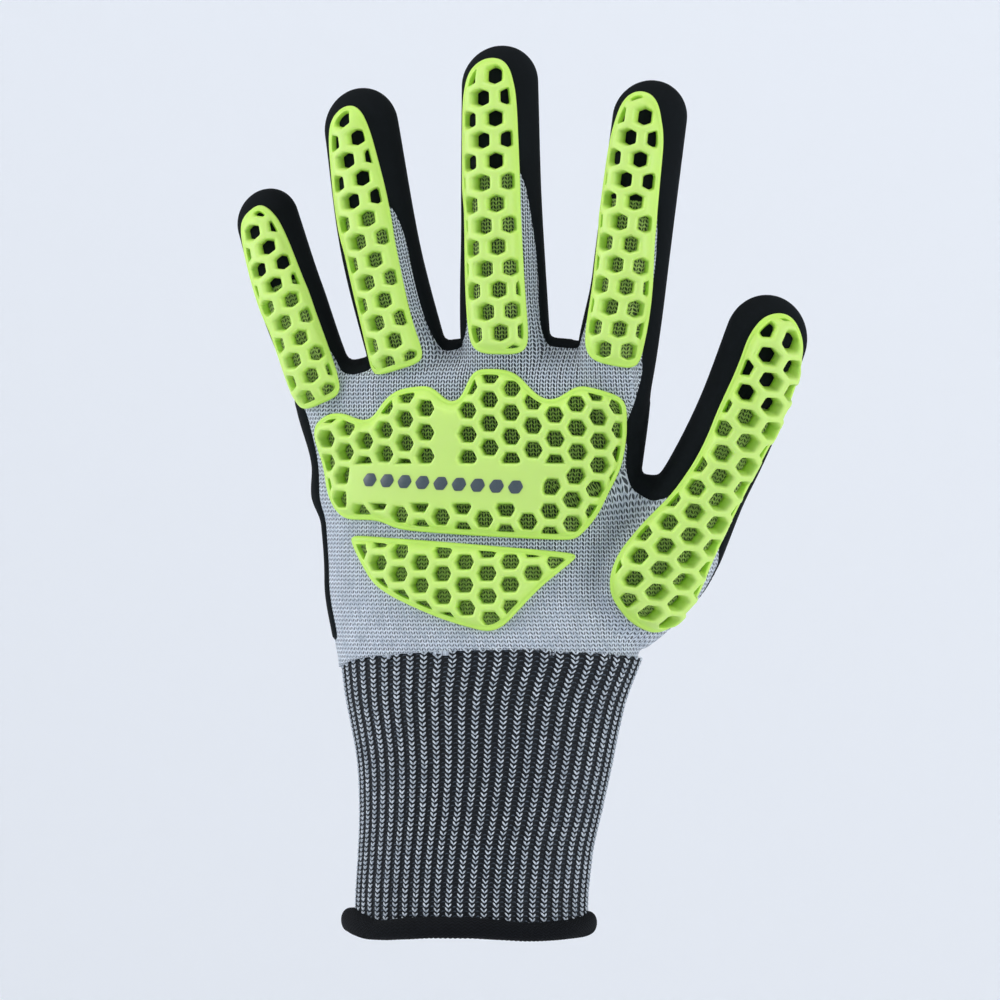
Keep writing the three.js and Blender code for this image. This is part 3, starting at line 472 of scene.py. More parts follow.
# where the foam dip reaches: distances in mm to its edge, above zero inside
dip = {
    "thickness": 0.55,
    "wall": 0.45,
    "edgeSlope": 0.5,       # its face comes down to the fabric by this much for each mm
    "deepest": -0.7,        # under the fabric's face, at the farthest vertices outside its edge
    "last": -1.45,          # mm outside its edge
    "start": 85.0,
    "palmEdge": {"z": [85, 96, 107, 119, 127, 131, 135, 139, 146, 160, 165],
                 "left": [-44.5, -44.6, -44.8, -45.4, -45.6, -46.6, -47.6, -47.8, -48.6, -49, -49],
                 "right": [110, 106, 100, 94, 76, 64.5, 56, 50.4, 47.6, 47.3, 48.5]},
    "little": {"along": [-14, -5, -2, 1, 6, 17, 28, 44], "left": [-11, -9.2, -9, -8.8, -8.8, -8.8, -8.2, -7.4],
               "right": [40, 22, 13, 9.4, 8.3, 8.1, 7.7, 6.5], "tip": 28},
    "ring": {"along": [-14, -8, -5, 0, 3, 9, 18, 27, 31, 36, 40, 45, 50],
             "left": [-30, -22, -12.5, -10.8, -11, -11, -10.8, -10.6, -10.6, -10.4, -10, -9.6, -9],
             "right": [40, 34, 28, 20, 12.4, 10.9, 10.5, 10.8, 11, 10.4, 9.3, 7.4, 6.4], "tip": 44},
    "middle": {"along": [-14, -1, 2, 9, 17, 26, 34, 43, 47, 52],
               "left": [-40, -22, -10.4, -9.3, -9.6, -10, -10.4, -10.4, -10, -9.4],
               "right": [40, 24, 14.6, 13.7, 14.1, 13.4, 12, 10.2, 8.6, 7.2], "tip": 49},
    "index": {"along": [-14, -6, 0, 3.5, 8, 16, 25, 33, 41, 50],
              "left": [-40, -26, -14, -11, -10.5, -10.5, -10.4, -10, -9.6, -9],
              "right": [10.1, 10.2, 10.1, 10.1, 10.1, 9.7, 9.6, 8.8, 7.5, 6.6], "tip": 42},
    "thumb": {"along": [-60, -30, -25, -18, -13, -9, 5, 20, 36],
              "left": [-60, -50, -40, -30, -21, -14.6, -12.4, -10.9, -9],
              "right": [24, 20, 15.7, 7.6, 5.8, 4.6, 5.0, 6.8, 7.6], "tip": 24},
    # the rounded foot of the thumb's web on the back: least x at each height
    "webFoot": {"z": [118, 122, 123.6, 124.5, 126.3, 129.1, 133, 140],
                "x": [66, 63, 59, 55.5, 51.6, 49.4, 48.7, 48.5]},
    # on the palm's side below the thumb: least y at each height
    "thumbSide": {"z": [85, 96, 107, 113, 119, 130, 140], "y": [14, 12, 9, 6.5, 5, 4, 4]},
    # balls round the crotches: middle and radius
    "crotches": [((-29.8, -2, 161.7), 9.1), ((-5.8, -2, 171.6), 5.8), ((26.8, -2, 173.2), 5.6),
                 ((57.3, 3.0, 136.2), 13.1)],
    "averaging": 6,
}


def dipDistance():
    # right and left edges of the hand and of the nearest digit, blended at the digit's root, then the thumb web's
    # foot, the palm's side of the thumb and the crotches
    z = handPoints[:, 2]
    edge = dip["palmEdge"]
    onPalm = np.maximum(edgeArc - np.interp(z, edge["z"], edge["right"]),
                        np.interp(z, edge["z"], edge["left"]) - edgeArc)
    result = onPalm.copy()
    for k, name in enumerate(digitNames):
        distance, along, arc = placed[name]
        limits = dip[name]
        right = arc - np.interp(along, limits["along"], limits["right"])
        left = np.interp(along, limits["along"], limits["left"]) - arc
        onDigit = np.maximum(np.maximum(right, left), along - limits["tip"])
        weight = smoothStep(-30, -22, along) if name == "thumb" else smoothStep(-8, -2, along)
        weight = weight * (1 - smoothStep(4, 8, distance))
        result = np.where(nearestDigit == k, onPalm * (1 - weight) + onDigit * weight, result)
    foot = dip["webFoot"]
    onFoot = (handPoints[:, 1] < 3) & (z > 116) & (z < 140) & (handPoints[:, 0] > 38)
    result = np.where(onFoot, np.minimum(result, handPoints[:, 0] - np.interp(z, foot["z"], foot["x"])), result)
    side = dip["thumbSide"]
    onSide = (handPoints[:, 1] > 3) & (z < 140) & (handPoints[:, 0] > -10)
    result = np.where(onSide, np.maximum(result, handPoints[:, 1] - np.interp(z, side["z"], side["y"])), result)
    for middle, radius in dip["crotches"]:
        result = np.maximum(result, radius - np.linalg.norm(handPoints - np.array(middle), axis=1))
    return averaged(np.minimum(result, z - dip["start"]), dip["averaging"])


print("working out the dip's edge")
dipReach = dipDistance()

# folds: shallow waves above the cuff's seam, then one soft roll round the hand; the fabric ends at the seam
seamTurn = np.arctan2((handPoints[:, 0] - 5.5) / 43.8, -handPoints[:, 1] / 23)
seam = seamHeight(seamTurn)
above = handPoints[:, 2] - seam
waves = 0.5 + 0.5 * np.sin(seamTurn * 17 + 1.3 * np.sin(seamTurn * 5))
folds = -0.3 * np.exp(-np.maximum(above, 0) / 6.0) * waves
folds += 0.25 * np.exp(-((above - 5) / 4.0) ** 2)
fabricPoints = handPoints + handNormals * folds[:, None]
below = fabricPoints[:, 2] < seam
fabricPoints[below, 2] = seam[below]
keptFaces = ~below[handQuads].all(1)


def compact(points, quads, *others):
    # drops the vertices that no face uses
    used = np.unique(quads)
    renumber = np.full(len(points), -1)
    renumber[used] = np.arange(len(used))
    return (points[used], renumber[quads]) + tuple(other[used] for other in others)


def knitCorners(quads, faces):
    # per face corner, the hand's map mixed with that of the face's own digit by the digit's weight
    digitOfFace = faceDigit[faces]
    weight = blendWeights[digitOfFace[:, None], quads][..., None]
    return handMap[quads] * (1 - weight) + digitMaps[digitOfFace[:, None], quads] * weight


print("fabric")
# stretch opens the stitches: over the knuckles and finger roots, and less above the cuff
stretch = smoothStep(92, 140, handPoints[:, 2] + 0.5 * handArc) * (0.6 + 0.4 * np.cos(handArc / 26.0 - 0.5))
keptQuads = handQuads[keptFaces]
points, quads, stretchKept = compact(fabricPoints, keptQuads, stretch)
fabricMesh = meshOf("knit_fabric", points, quads)
setMap(fabricMesh, "knit", knitCorners(keptQuads, np.flatnonzero(keptFaces)))
setValue(fabricMesh, "stretch", stretchKept)

# Cut-resistant yarn, plain knitted: a light grey heather strand plated over a charcoal one, so rows of small
# light V's with charcoal showing between them; dull, with a little fuzz at grazing angles.
knitMaterial, shader = newMaterial("plain_knit_heather", Roughness=0.85, Sheen_Weight=0.15, Sheen_Roughness=0.5)


def knitPattern(material, mapName, knitted):
    # a course's row climbs by rise courses to the wale's crest and falls again; the crest lies left or right
    # of the wale's middle by lean for each 30 mm of arc; gap is 0 on the row's middle line, 1 between rows
    width, height, rise, lean = (knitted[key] for key in ("stitchWidth", "stitchHeight", "rise", "lean"))
    place = addNode(material, "UVMap", uv_map=mapName)
    split = addNode(material, "SeparateXYZ", {"Vector": (place, "UV")})
    wale = addNode(material, "Math", {0: (split, "X"), 1: width}, operation="DIVIDE")
    course = addNode(material, "Math", {0: (split, "Y"), 1: height}, operation="DIVIDE")
    inWale = addNode(material, "Math", {0: wale}, operation="FRACT")
    crest = addNode(material, "MapRange", {"Value": (split, "X"), "From Min": -30.0, "From Max": 30.0,
                                           "To Min": 0.5 + lean, "To Max": 0.5 - lean})
    rest = addNode(material, "Math", {0: 1.0, 1: crest}, operation="SUBTRACT")
    upward = addNode(material, "Math", {0: inWale, 1: crest}, operation="DIVIDE")
    left = addNode(material, "Math", {0: 1.0, 1: inWale}, operation="SUBTRACT")
    downward = addNode(material, "Math", {0: left, 1: rest}, operation="DIVIDE")
    climb = addNode(material, "Math", {0: upward, 1: downward}, operation="MINIMUM")
    row = addNode(material, "Math", {0: climb, 1: -rise, 2: course}, operation="MULTIPLY_ADD")
    fromMiddle = addNode(material, "Math", {0: row, 1: 0.5}, operation="PINGPONG")
    gap = addNode(material, "Math", {0: fromMiddle, 1: 2.0}, operation="MULTIPLY")
    legs = addNode(material, "Math", {0: inWale, 1: crest}, operation="GREATER_THAN")
    column = addNode(material, "Math", {0: wale}, operation="FLOOR")
    column = addNode(material, "Math", {0: column, 1: 2.0, 2: legs}, operation="MULTIPLY_ADD")
    rowNumber = addNode(material, "Math", {0: row}, operation="FLOOR")
    stitch = addNode(material, "CombineXYZ", {"X": column, "Y": rowNumber})
    # 0 at crest and valley, 1 half way along each leg
    midLeg = addNode(material, "Math", {0: climb, 1: 0.5}, operation="PINGPONG")
    midLeg = addNode(material, "Math", {0: midLeg, 1: 2.0}, operation="MULTIPLY")
    # the yarn's rounded top: 1 less the gap squared
    hollow = addNode(material, "Math", {0: gap, 1: 2.0}, operation="POWER")
    yarnTop = addNode(material, "Math", {0: 1.0, 1: hollow}, operation="SUBTRACT")
    return {"gap": gap, "midLeg": midLeg, "stitch": stitch, "height": yarnTop}


parts = knitPattern(knitMaterial, "knit", fabric)
heather = addNode(knitMaterial, "TexWhiteNoise", {"Vector": parts["stitch"]}, noise_dimensions="2D")
spots = addNode(knitMaterial, "TexCoord")
patches = addNode(knitMaterial, "TexNoise", {"Vector": (spots, "Object"), "Scale": 210.0, "Detail": 3.0})
stretchValue = addNode(knitMaterial, "Attribute", attribute_name="stretch")
# the gap between rows opens with the stretch, differs from stitch to stitch, and closes at crests and valleys
opening = addNode(knitMaterial, "Math", {0: (stretchValue, "Fac"), 1: 0.27, 2: 0.36}, operation="MULTIPLY_ADD")
opening = addNode(knitMaterial, "Math", {0: (heather, "Value"), 1: 0.44, 2: opening}, operation="MULTIPLY_ADD")
narrow = addNode(knitMaterial, "MapRange", {"Value": parts["midLeg"], "From Min": 0.08, "From Max": 0.55},
                 interpolation_type="SMOOTHSTEP")
opening = addNode(knitMaterial, "Math", {0: opening, 1: narrow}, operation="MULTIPLY")
closed = addNode(knitMaterial, "Math", {0: 1.0, 1: opening}, operation="SUBTRACT")
closedEnd = addNode(knitMaterial, "Math", {0: closed, 1: 0.22}, operation="ADD")
dark = addNode(knitMaterial, "MapRange", {"Value": parts["gap"], "From Min": closed, "From Max": closedEnd},
               interpolation_type="SMOOTHSTEP")
strength = addNode(knitMaterial, "MapRange", {"Value": (stretchValue, "Fac"), "To Min": 0.85, "To Max": 1.0})
darkAll = addNode(knitMaterial, "Math", {0: dark, 1: strength}, operation="MULTIPLY")
lightYarn = addNode(knitMaterial, "Mix", {"Factor": (heather, "Value"), 6: "#9FAAB7", 7: "#D2DAE4"},
                    data_type="RGBA")
tone = addNode(knitMaterial, "Mix", {"Factor": darkAll, 6: (lightYarn, 2), 7: "#1E2630"}, data_type="RGBA")
patchTone = addNode(knitMaterial, "MapRange", {"Value": (patches, "Fac"), "To Min": 0.80, "To Max": 1.14})
toneAll = addNode(knitMaterial, "VectorMath", {0: (tone, 2), 3: patchTone}, operation="SCALE")
# inside the guards' cells the knit is tinted darker and greener: painted shade of the deep cells, with painted
# green light bounced off their rubber walls
cellShadeValue = addNode(knitMaterial, "Attribute", attribute_name="cellShade")
cellShadeTint = addNode(knitMaterial, "Mix", {"Factor": (cellShadeValue, "Fac"), 6: (1, 1, 1, 1), 7: "#D6EE78"},
                    data_type="RGBA")
toneAll = addNode(knitMaterial, "VectorMath", {0: (toneAll, "Vector"), 1: (cellShadeTint, 2)}, operation="MULTIPLY")
knitMaterial.node_tree.links.new(toneAll.outputs["Vector"], shader.inputs["Base Color"])
bump = addNode(knitMaterial, "Bump", {"Height": parts["height"], "Strength": 0.7, "Distance": 0.00025})
knitMaterial.node_tree.links.new(bump.outputs[0], shader.inputs["Normal"])

fabricPiece = addPiece("knit_fabric", fabricMesh, knitMaterial, "knit_shell", "knit_shell")
thicken(fabricPiece, fabric["wall"])

print("foam dip")
# Nitrile foam: near black, matt, with the fine sandy grain that sprayed salt leaves in the dip.
foamMaterial, shader = newMaterial("nitrile_foam_black", Roughness=0.9, Specular_IOR_Level=0.08)
spots = addNode(foamMaterial, "TexCoord")
grain = addNode(foamMaterial, "TexNoise", {"Vector": (spots, "Object"), "Scale": 2600.0, "Detail": 4.0,
                                           "Roughness": 0.65})
cloud = addNode(foamMaterial, "TexNoise", {"Vector": (spots, "Object"), "Scale": 55.0, "Detail": 3.0})
shade = addNode(foamMaterial, "Math", {0: (grain, "Fac"), 1: 0.5, 2: 0.1}, operation="MULTIPLY_ADD")
shade = addNode(foamMaterial, "Math", {0: (cloud, "Fac"), 1: 0.5, 2: shade}, operation="MULTIPLY_ADD")
finishSurface(foamMaterial, shader, shade, "#06080A", "#14191C", (grain, "Fac"), 0.5, 0.00012)

# the dip's outer face stands proud inside its edge and runs into the fabric outside it
offset = np.clip(dipReach * dip["edgeSlope"], dip["deepest"], dip["thickness"])
dipFaces = (dipReach[handQuads].max(1) > dip["last"]) & keptFaces
points, quads = compact(fabricPoints + handNormals * offset[:, None], handQuads[dipFaces])
dipMesh = meshOf("foam_dip", points, quads)
dipPiece = addPiece("foam_dip", dipMesh, foamMaterial, "palm_coating", "palm_coating")
thicken(dipPiece, dip["wall"])

# cuff: ribs of light and dark wales in turn, with their stitches modelled
cuff = {
    "ribs": 51,
    "meanHalf": (38, 23.2), # half sizes of its mean ellipse
    "height": 76.0,
    "relief": 0.75,         # from groove to rib
    "wall": 1.2,
    "stitchHeight": 1.29,
    "strand": 0.275,        # radius of the light strand
    "darkStrand": 0.25,
    "lightLift": 0.42,      # how far the strands' middles stand off the mean ellipse
    "darkLift": -0.12,
    # a light stitch has two legs, a dark one a single bar: from one x to the other in mm, and how far it climbs
    "lightLegs": [((0.10, -1.05), 1.20), ((0.05, 0.85), 0.95)],
    "darkBar": ((-0.70, 0.70), 0.02),
    "unevenness": 0.06,     # of the strands' radii
}


def evenAngle(turn):
    # from an angle that grows evenly with the length round the cuff's ellipse to the ellipse's own angle
    grid = np.linspace(0, 2 * math.pi, 721)
    middle = (grid[1:] + grid[:-1]) / 2
    wide, deep = cuff["meanHalf"]
    length = np.concatenate([[0], np.cumsum(np.hypot(wide * np.cos(middle), deep * np.sin(middle)))])
    return np.interp(turn % (2 * math.pi), length / length[-1] * 2 * math.pi, grid)


def cuffPoint(share, angle, lift):
    # ellipses from the hem up; share 0 to 1 is measured to the seam line
    z = cuffShape["z"][0] + share * (seamHeight(angle) - cuffShape["z"][0])
    wide = alongTable(cuffShape, "z", "halfWidth", z) + lift
    deep = alongTable(cuffShape, "z", "halfDepth", z) + lift
    x = alongTable(cuffShape, "z", "middle", z) + wide * np.sin(angle)
    return np.stack(np.broadcast_arrays(x, -deep * np.cos(angle), z), -1)


print("cuff")
columns, rows = cuff["ribs"] * 8, 40
turn = np.linspace(0, 2 * math.pi, columns, endpoint=False)[None, :]
share = np.linspace(0.0, 1.0, rows)[:, None]
relief = cuff["relief"] * (0.5 + 0.5 * np.cos(cuff["ribs"] * turn)) - 0.25
surface = cuffPoint(share, evenAngle(turn), relief + 0 * share)
cuffMesh = meshOf("rib_ground", surface.reshape(-1, 3), gridQuads(rows, columns))

# Ground of the rib: charcoal and black textured yarn, seen only as the dark between the strands.
groundMaterial, shader = newMaterial("rib_ground_charcoal", Roughness=0.9)
spots = addNode(groundMaterial, "TexCoord")
grain = addNode(groundMaterial, "TexNoise", {"Vector": (spots, "Object"), "Scale": 1400.0, "Detail": 3.0})
finishSurface(groundMaterial, shader, (grain, "Fac"), "#080B0F", "#141A21", (grain, "Fac"), 0.4, 0.0003)
cuffPiece = addPiece("rib_ground", cuffMesh, groundMaterial, "rib_cuff", "rib_cuff")
thicken(cuffPiece, cuff["wall"])


def strands(middleAngle, middleShare, across, rise, lift, radius, bow, arch=0.0):
    # each strand is a spindle of four rings: its middle line goes from across[0] to across[1] in mm, climbs by
    # rise, bows outwards and is arched upwards; the rings' four corners stand off it in the surface and square
    # to it
    ringAt = np.array([0.0, 0.3, 0.7, 1.0])
    thick = np.array([0.35, 1.0, 1.0, 0.35])
    corner = np.arange(4) * math.pi / 2 + math.pi / 4
    count = len(middleAngle)
    wide, deep = cuff["meanHalf"]
    wide = np.hypot(wide * np.cos(middleAngle), deep * np.sin(middleAngle))[:, None, None]
    tall = cuffShape["z"][-1] - cuffShape["z"][0]
    startX, endX = across[0] + 0 * wide, across[1] + 0 * wide
    lengthX, lengthZ = endX - startX, rise + 0 * wide
    length = np.hypot(lengthX, lengthZ)
    t = ringAt[None, :, None]
    r = radius[:, None, None] * thick[None, :, None]
    stand = r * np.cos(corner)[None, None, :]
    out = r * np.sin(corner)[None, None, :] * 0.8 + lift + bow * np.sin(math.pi * t)
    x = startX + lengthX * t - stand * lengthZ / length
    z = lengthZ * (t - 0.5) + arch * np.sin(math.pi * t) + stand * lengthX / length
    points = cuffPoint(middleShare[:, None, None] + z / tall, middleAngle[:, None, None] + x / wide, out)
    base = (np.arange(count) * 16)[:, None, None]
    sides = gridQuads(4, 4)[None] + base
    ends = np.array([[3, 2, 1, 0], [12, 13, 14, 15]])[None] + base
    quads = np.concatenate([sides.reshape(-1, 4), ends.reshape(-1, 4)])
    return points.reshape(-1, 3), quads


def stitchGrid(phase):
    # one stitch for each wale and course, with a little seeded unevenness
    tall = cuffShape["z"][-1] - cuffShape["z"][0]
    courses = int(tall / cuff["stitchHeight"])
    wale, course = np.meshgrid(np.arange(cuff["ribs"]), np.arange(courses), indexing="ij")
    turn = (wale.ravel() + phase) * 2 * math.pi / cuff["ribs"]
    share = (course.ravel() + 0.5) / courses
    angle = evenAngle(turn) + random.normal(0, 0.0016, turn.shape)
    share = share + random.normal(0, 0.0007, share.shape)
    return angle, share


def fixWinding(points, quads):
    # turns a quad over where its normal looks towards its own strand's middle
    middle = points.reshape(-1, 16, 3).mean(1)[quads[:, 0] // 16]
    a, b, c, d = (points[quads[:, k]] for k in range(4))
    normal = np.cross(c - a, d - b)
    inside = ((a + b + c + d) / 4 - middle) * normal
    quads[inside.sum(1) < 0] = quads[inside.sum(1) < 0][:, ::-1]
    return quads


# Light strand: the same heather yarn as on the hand, as plump round strands.
strandMaterial, shader = newMaterial("rib_strand_grey", Roughness=0.8, Sheen_Weight=0.15, Sheen_Roughness=0.5)
spots = addNode(strandMaterial, "TexCoord")
ply = addNode(strandMaterial, "TexNoise", {"Vector": (spots, "Object"), "Scale": 2200.0, "Detail": 2.0})
patch = addNode(strandMaterial, "TexNoise", {"Vector": (spots, "Object"), "Scale": 420.0, "Detail": 2.0})
mixing = addNode(strandMaterial, "Math", {0: (ply, "Fac"), 1: (patch, "Fac")}, operation="MULTIPLY")
mixing = addNode(strandMaterial, "MapRange", {"Value": mixing, "From Min": 0.14, "From Max": 0.36})
finishSurface(strandMaterial, shader, mixing, "#8A95A1", "#CBD3DC", (ply, "Fac"), 0.5, 0.0002)
lightPoints, lightQuads = [], []
for across, climb in cuff["lightLegs"]:
    middleAngle, middleShare = stitchGrid(0.0)
    size = cuff["strand"] * (1 + random.normal(0, cuff["unevenness"], middleAngle.shape))
    middleShare = middleShare + climb / 2 / cuff["height"]
    made = strands(middleAngle, middleShare, across, climb, cuff["lightLift"], size, 0.12)
    lightQuads.append(made[1] + sum(len(p) for p in lightPoints))
    lightPoints.append(made[0])
lightPoints = np.vstack(lightPoints)
lightMesh = meshOf("rib_light_strands", lightPoints, fixWinding(lightPoints, np.vstack(lightQuads)))
addPiece("rib_light_strands", lightMesh, strandMaterial, "rib_cuff", "rib_cuff")

# Dark strand: black yarn with a fleck of grey.
darkMaterial, shader = newMaterial("rib_strand_black", Roughness=0.85)
spots = addNode(darkMaterial, "TexCoord")
fleck = addNode(darkMaterial, "TexNoise", {"Vector": (spots, "Object"), "Scale": 900.0, "Detail": 2.0})
fleck = addNode(darkMaterial, "MapRange", {"Value": (fleck, "Fac"), "From Min": 0.4, "From Max": 0.7})
finishSurface(darkMaterial, shader, fleck, "#1E262E", "#4C5763")
middleAngle, middleShare = stitchGrid(0.5)
size = cuff["darkStrand"] * (1 + random.normal(0, cuff["unevenness"], middleAngle.shape))
darkPoints, darkQuads = strands(middleAngle, middleShare, *cuff["darkBar"], cuff["darkLift"], size, 0.2, 0.35)
darkMesh = meshOf("rib_dark_strands", darkPoints, fixWinding(darkPoints, darkQuads))
addPiece("rib_dark_strands", darkMesh, darkMaterial, "rib_cuff", "rib_cuff")

# hem: the cuff's edge rolled into a soft band
hem = {
    "angle": [-180, -140, -110, -75, -60, -45, -38, -20, -5, 10, 25, 42, 60, 80, 100, 130, 180],
    "upper": [7.0, 7.4, 8.0, 8.6, 7.6, 6.2, 5.6, 6.6, 6.9, 6.9, 6.3, 5.3, 5.8, 6.6, 8.0, 7.6, 7.0],
    "lower": [0.6, 0.8, 1.2, 1.6, 0.9, 0.1, 0.0, 0.4, 0.9, 0.9, 0.5, 0.1, 0.3, 0.8, 1.3, 1.0, 0.6],
    "middle": -0.3,
    "halfThickness": 3.2,
    "out": 0.7,
    "beads": 146,           # small bumps along the lower edge, one for each wale
    "beadHeight": 0.12,
    "mouthRadius": 30.0,    # the stitches are laid out round the mouth on a ring of this radius
    "bandRadius": 3.5,      # and round the band on this one
    "stitchWidth": 1.5,
    "stitchHeight": 1.1,
    "rise": 0.8,
    "lean": 0.0,
}
print("hem")
columns, rows = 300, 32
angle = np.linspace(0, 2 * math.pi, columns, endpoint=False)[None, :]
ringTurn = np.linspace(0, 2 * math.pi, rows, endpoint=False)[:, None]
degrees = (np.degrees(angle) + 180) % 360 - 180
upper, lower = alongTable(hem, "angle", "upper", degrees), alongTable(hem, "angle", "lower", degrees)
tall = (upper - lower) / 2
soften = np.abs(np.cos(ringTurn)) ** 0.8 * np.sign(np.cos(ringTurn))
thick = hem["halfThickness"] * (1 + 0.04 * np.sin(7 * angle))
beads = hem["beadHeight"] * np.cos(hem["beads"] * angle) * smoothStep(0.2, 0.9, -np.sin(ringTurn))
outward = hem["out"] + thick * soften + beads
x = hem["middle"] + (cuffShape["halfWidth"][0] + outward) * np.sin(angle)
y = -(cuffShape["halfDepth"][0] + outward) * np.cos(angle)
z = (upper + lower) / 2 + (tall + beads) * np.sin(ringTurn)
z = np.maximum(z, 0.0)
ring = np.stack(np.broadcast_arrays(x, y, z), -1)
ring = np.concatenate([ring, ring[:1]])
quads = gridQuads(rows + 1, columns) % (rows * columns)
hemMesh = meshOf("rolled_hem", ring[:-1].reshape(-1, 3), quads)
mouthLength, bandLength = 2 * math.pi * hem["mouthRadius"], 2 * math.pi * hem["bandRadius"]
hemMap = (angle * hem["mouthRadius"], ringTurn / (2 * math.pi) * bandLength)
hemMap = np.stack(np.broadcast_arrays(*hemMap), -1).reshape(-1, 2)
corners = np.empty(len(hemMesh.loops), np.int32)
hemMesh.loops.foreach_get("vertex_index", corners)
hemCorner = hemMap[corners].reshape(-1, 4, 2)
# faces that close the ring or the band take their far corners from the map's next turn
for k, turnLength in enumerate((mouthLength, bandLength)):
    behind = hemCorner[..., k].max(1, keepdims=True) - hemCorner[..., k]
    hemCorner[..., k] += np.where(behind > turnLength / 2, turnLength, 0)
setMap(hemMesh, "knit", hemCorner.reshape(-1, 2))

# Rolled edge: black elastic yarn, overlocked and plain knitted, 1.5 mm wales and 1.1 mm courses.
hemMaterial, shader = newMaterial("rolled_edge_black", Roughness=0.9, Specular_IOR_Level=0.12)
parts = knitPattern(hemMaterial, "knit", hem)
finishSurface(hemMaterial, shader, parts["gap"], "#12151A", "#050607", parts["height"], 0.7, 0.0003)
addPiece("rolled_hem", hemMesh, hemMaterial, "cuff_hem", "cuff_hem")

# guards: a rounded rim round a web of six-sided cells, on the digit's or the hand's own curve
guard = {
    "bottom": -0.45,        # under the fabric's face
    "top": {"little": 3.2, "ring": 3.4, "middle": 3.5, "index": 3.5, "thumb": 4.7, "knuckle_guard": 4.2,
            "metacarpal_guard": 4.0},
    "rim": [(0.0, -0.45), (0.0, 0.7), (0.1, 1.15), (0.3, 1.5), (0.6, 1.68), (0.9, 1.72), (1.12, 1.68)],
    # share of the way from the rim's height to the web's, by distance from the outline
    "rise": [(1.1, 0.0), (1.4, 0.06), (1.9, 0.36), (2.6, 0.72), (3.4, 0.94), (4.2, 1.0)],
    "rimClear": 1.3,        # least distance from a cell's upper edge to the outline
    # from a cell's lattice side inwards, with the share of the web's height below its top
    "wall": [(0.33, 0.0), (0.57, 0.015), (0.79, 0.06), (0.96, 0.14), (1.09, 0.28), (1.20, 0.48), (1.30, 0.72),
             (1.40, 1.0)],
    "sideRoom": 0.66,       # taken off at a cell's sides when its room is measured
    "leastRoom": 0.68,      # smaller cells stay solid
    "cornering": 22,        # power of the sum that rounds the cells' corners
    "outlineStep": 0.62,
    "slopeInsets": (1.8, 2.2, 2.7, 3.3),  # rows of points on the slope behind the rim
    "webStep": 1.9,         # between the points on plain areas
    "coatLift": 0.45,       # how much the guards rise where they run on to the foam
    "backTop": 158.5,       # above this the back guards go straight on up
    "facets": 30,
}


def closedCurve(corners, step):
    # cuts each corner twice, then takes equal steps of length and averages neighbours
    points = np.array(corners, float)
    for _ in range(2):
        after = np.roll(points, -1, 0)
        points = np.stack([0.8 * points + 0.2 * after, 0.2 * points + 0.8 * after], 1).reshape(-1, 2)
    area = np.sum(points[:, 0] * np.roll(points[:, 1], -1) - points[:, 1] * np.roll(points[:, 0], -1))
    points = points if area > 0 else points[::-1]
    closed = np.vstack([points, points[:1]])
    length = np.concatenate([[0], np.cumsum(np.linalg.norm(np.diff(closed, axis=0), axis=1))])
    at = np.arange(int(length[-1] / step)) / int(length[-1] / step) * length[-1]
    points = np.stack([np.interp(at, length, closed[:, k]) for k in (0, 1)], 1)
    for _ in range(10):
        points = 0.25 * np.roll(points, 1, 0) + 0.5 * points + 0.25 * np.roll(points, -1, 0)
    return points


def inwardOf(curve):
    # left-hand normal of a curve that runs counter-clockwise
    tangent = np.roll(curve, -1, 0) - np.roll(curve, 1, 0)
    tangent /= np.linalg.norm(tangent, axis=1, keepdims=True)
    return np.stack([-tangent[:, 1], tangent[:, 0]], 1)


def insideCurve(curve, points):
    # even-odd rule along a line to the left
    x, y = points[:, 0:1], points[:, 1:2]
    ax, ay = curve[None, :, 0], curve[None, :, 1]
    bx, by = np.roll(curve, -1, 0)[None, :, 0], np.roll(curve, -1, 0)[None, :, 1]
    crosses = (ay > y) != (by > y)
    at = ax + (bx - ax) * (y - ay) / np.where(by == ay, 1e-9, by - ay)
    return (crosses & (x < at)).sum(1) % 2 == 1


def rimDistance(curve, points):
    # least distance to the outline's sides, below zero outside
    a = curve[None]
    side = np.roll(curve, -1, 0)[None] - a
    t = np.clip(((points[:, None] - a) * side).sum(2) / (side ** 2).sum(2), 0, 1)
    least = np.linalg.norm(points[:, None] - a - side * t[..., None], axis=2).min(1)
    return np.where(insideCurve(curve, points), least, -least)


def webHeight(curve, points, top):
    insets, shares = zip(*guard["rise"])
    rim = guard["rim"][-1][1]
    return rim + (top - rim) * np.interp(rimDistance(curve, points), insets, shares)


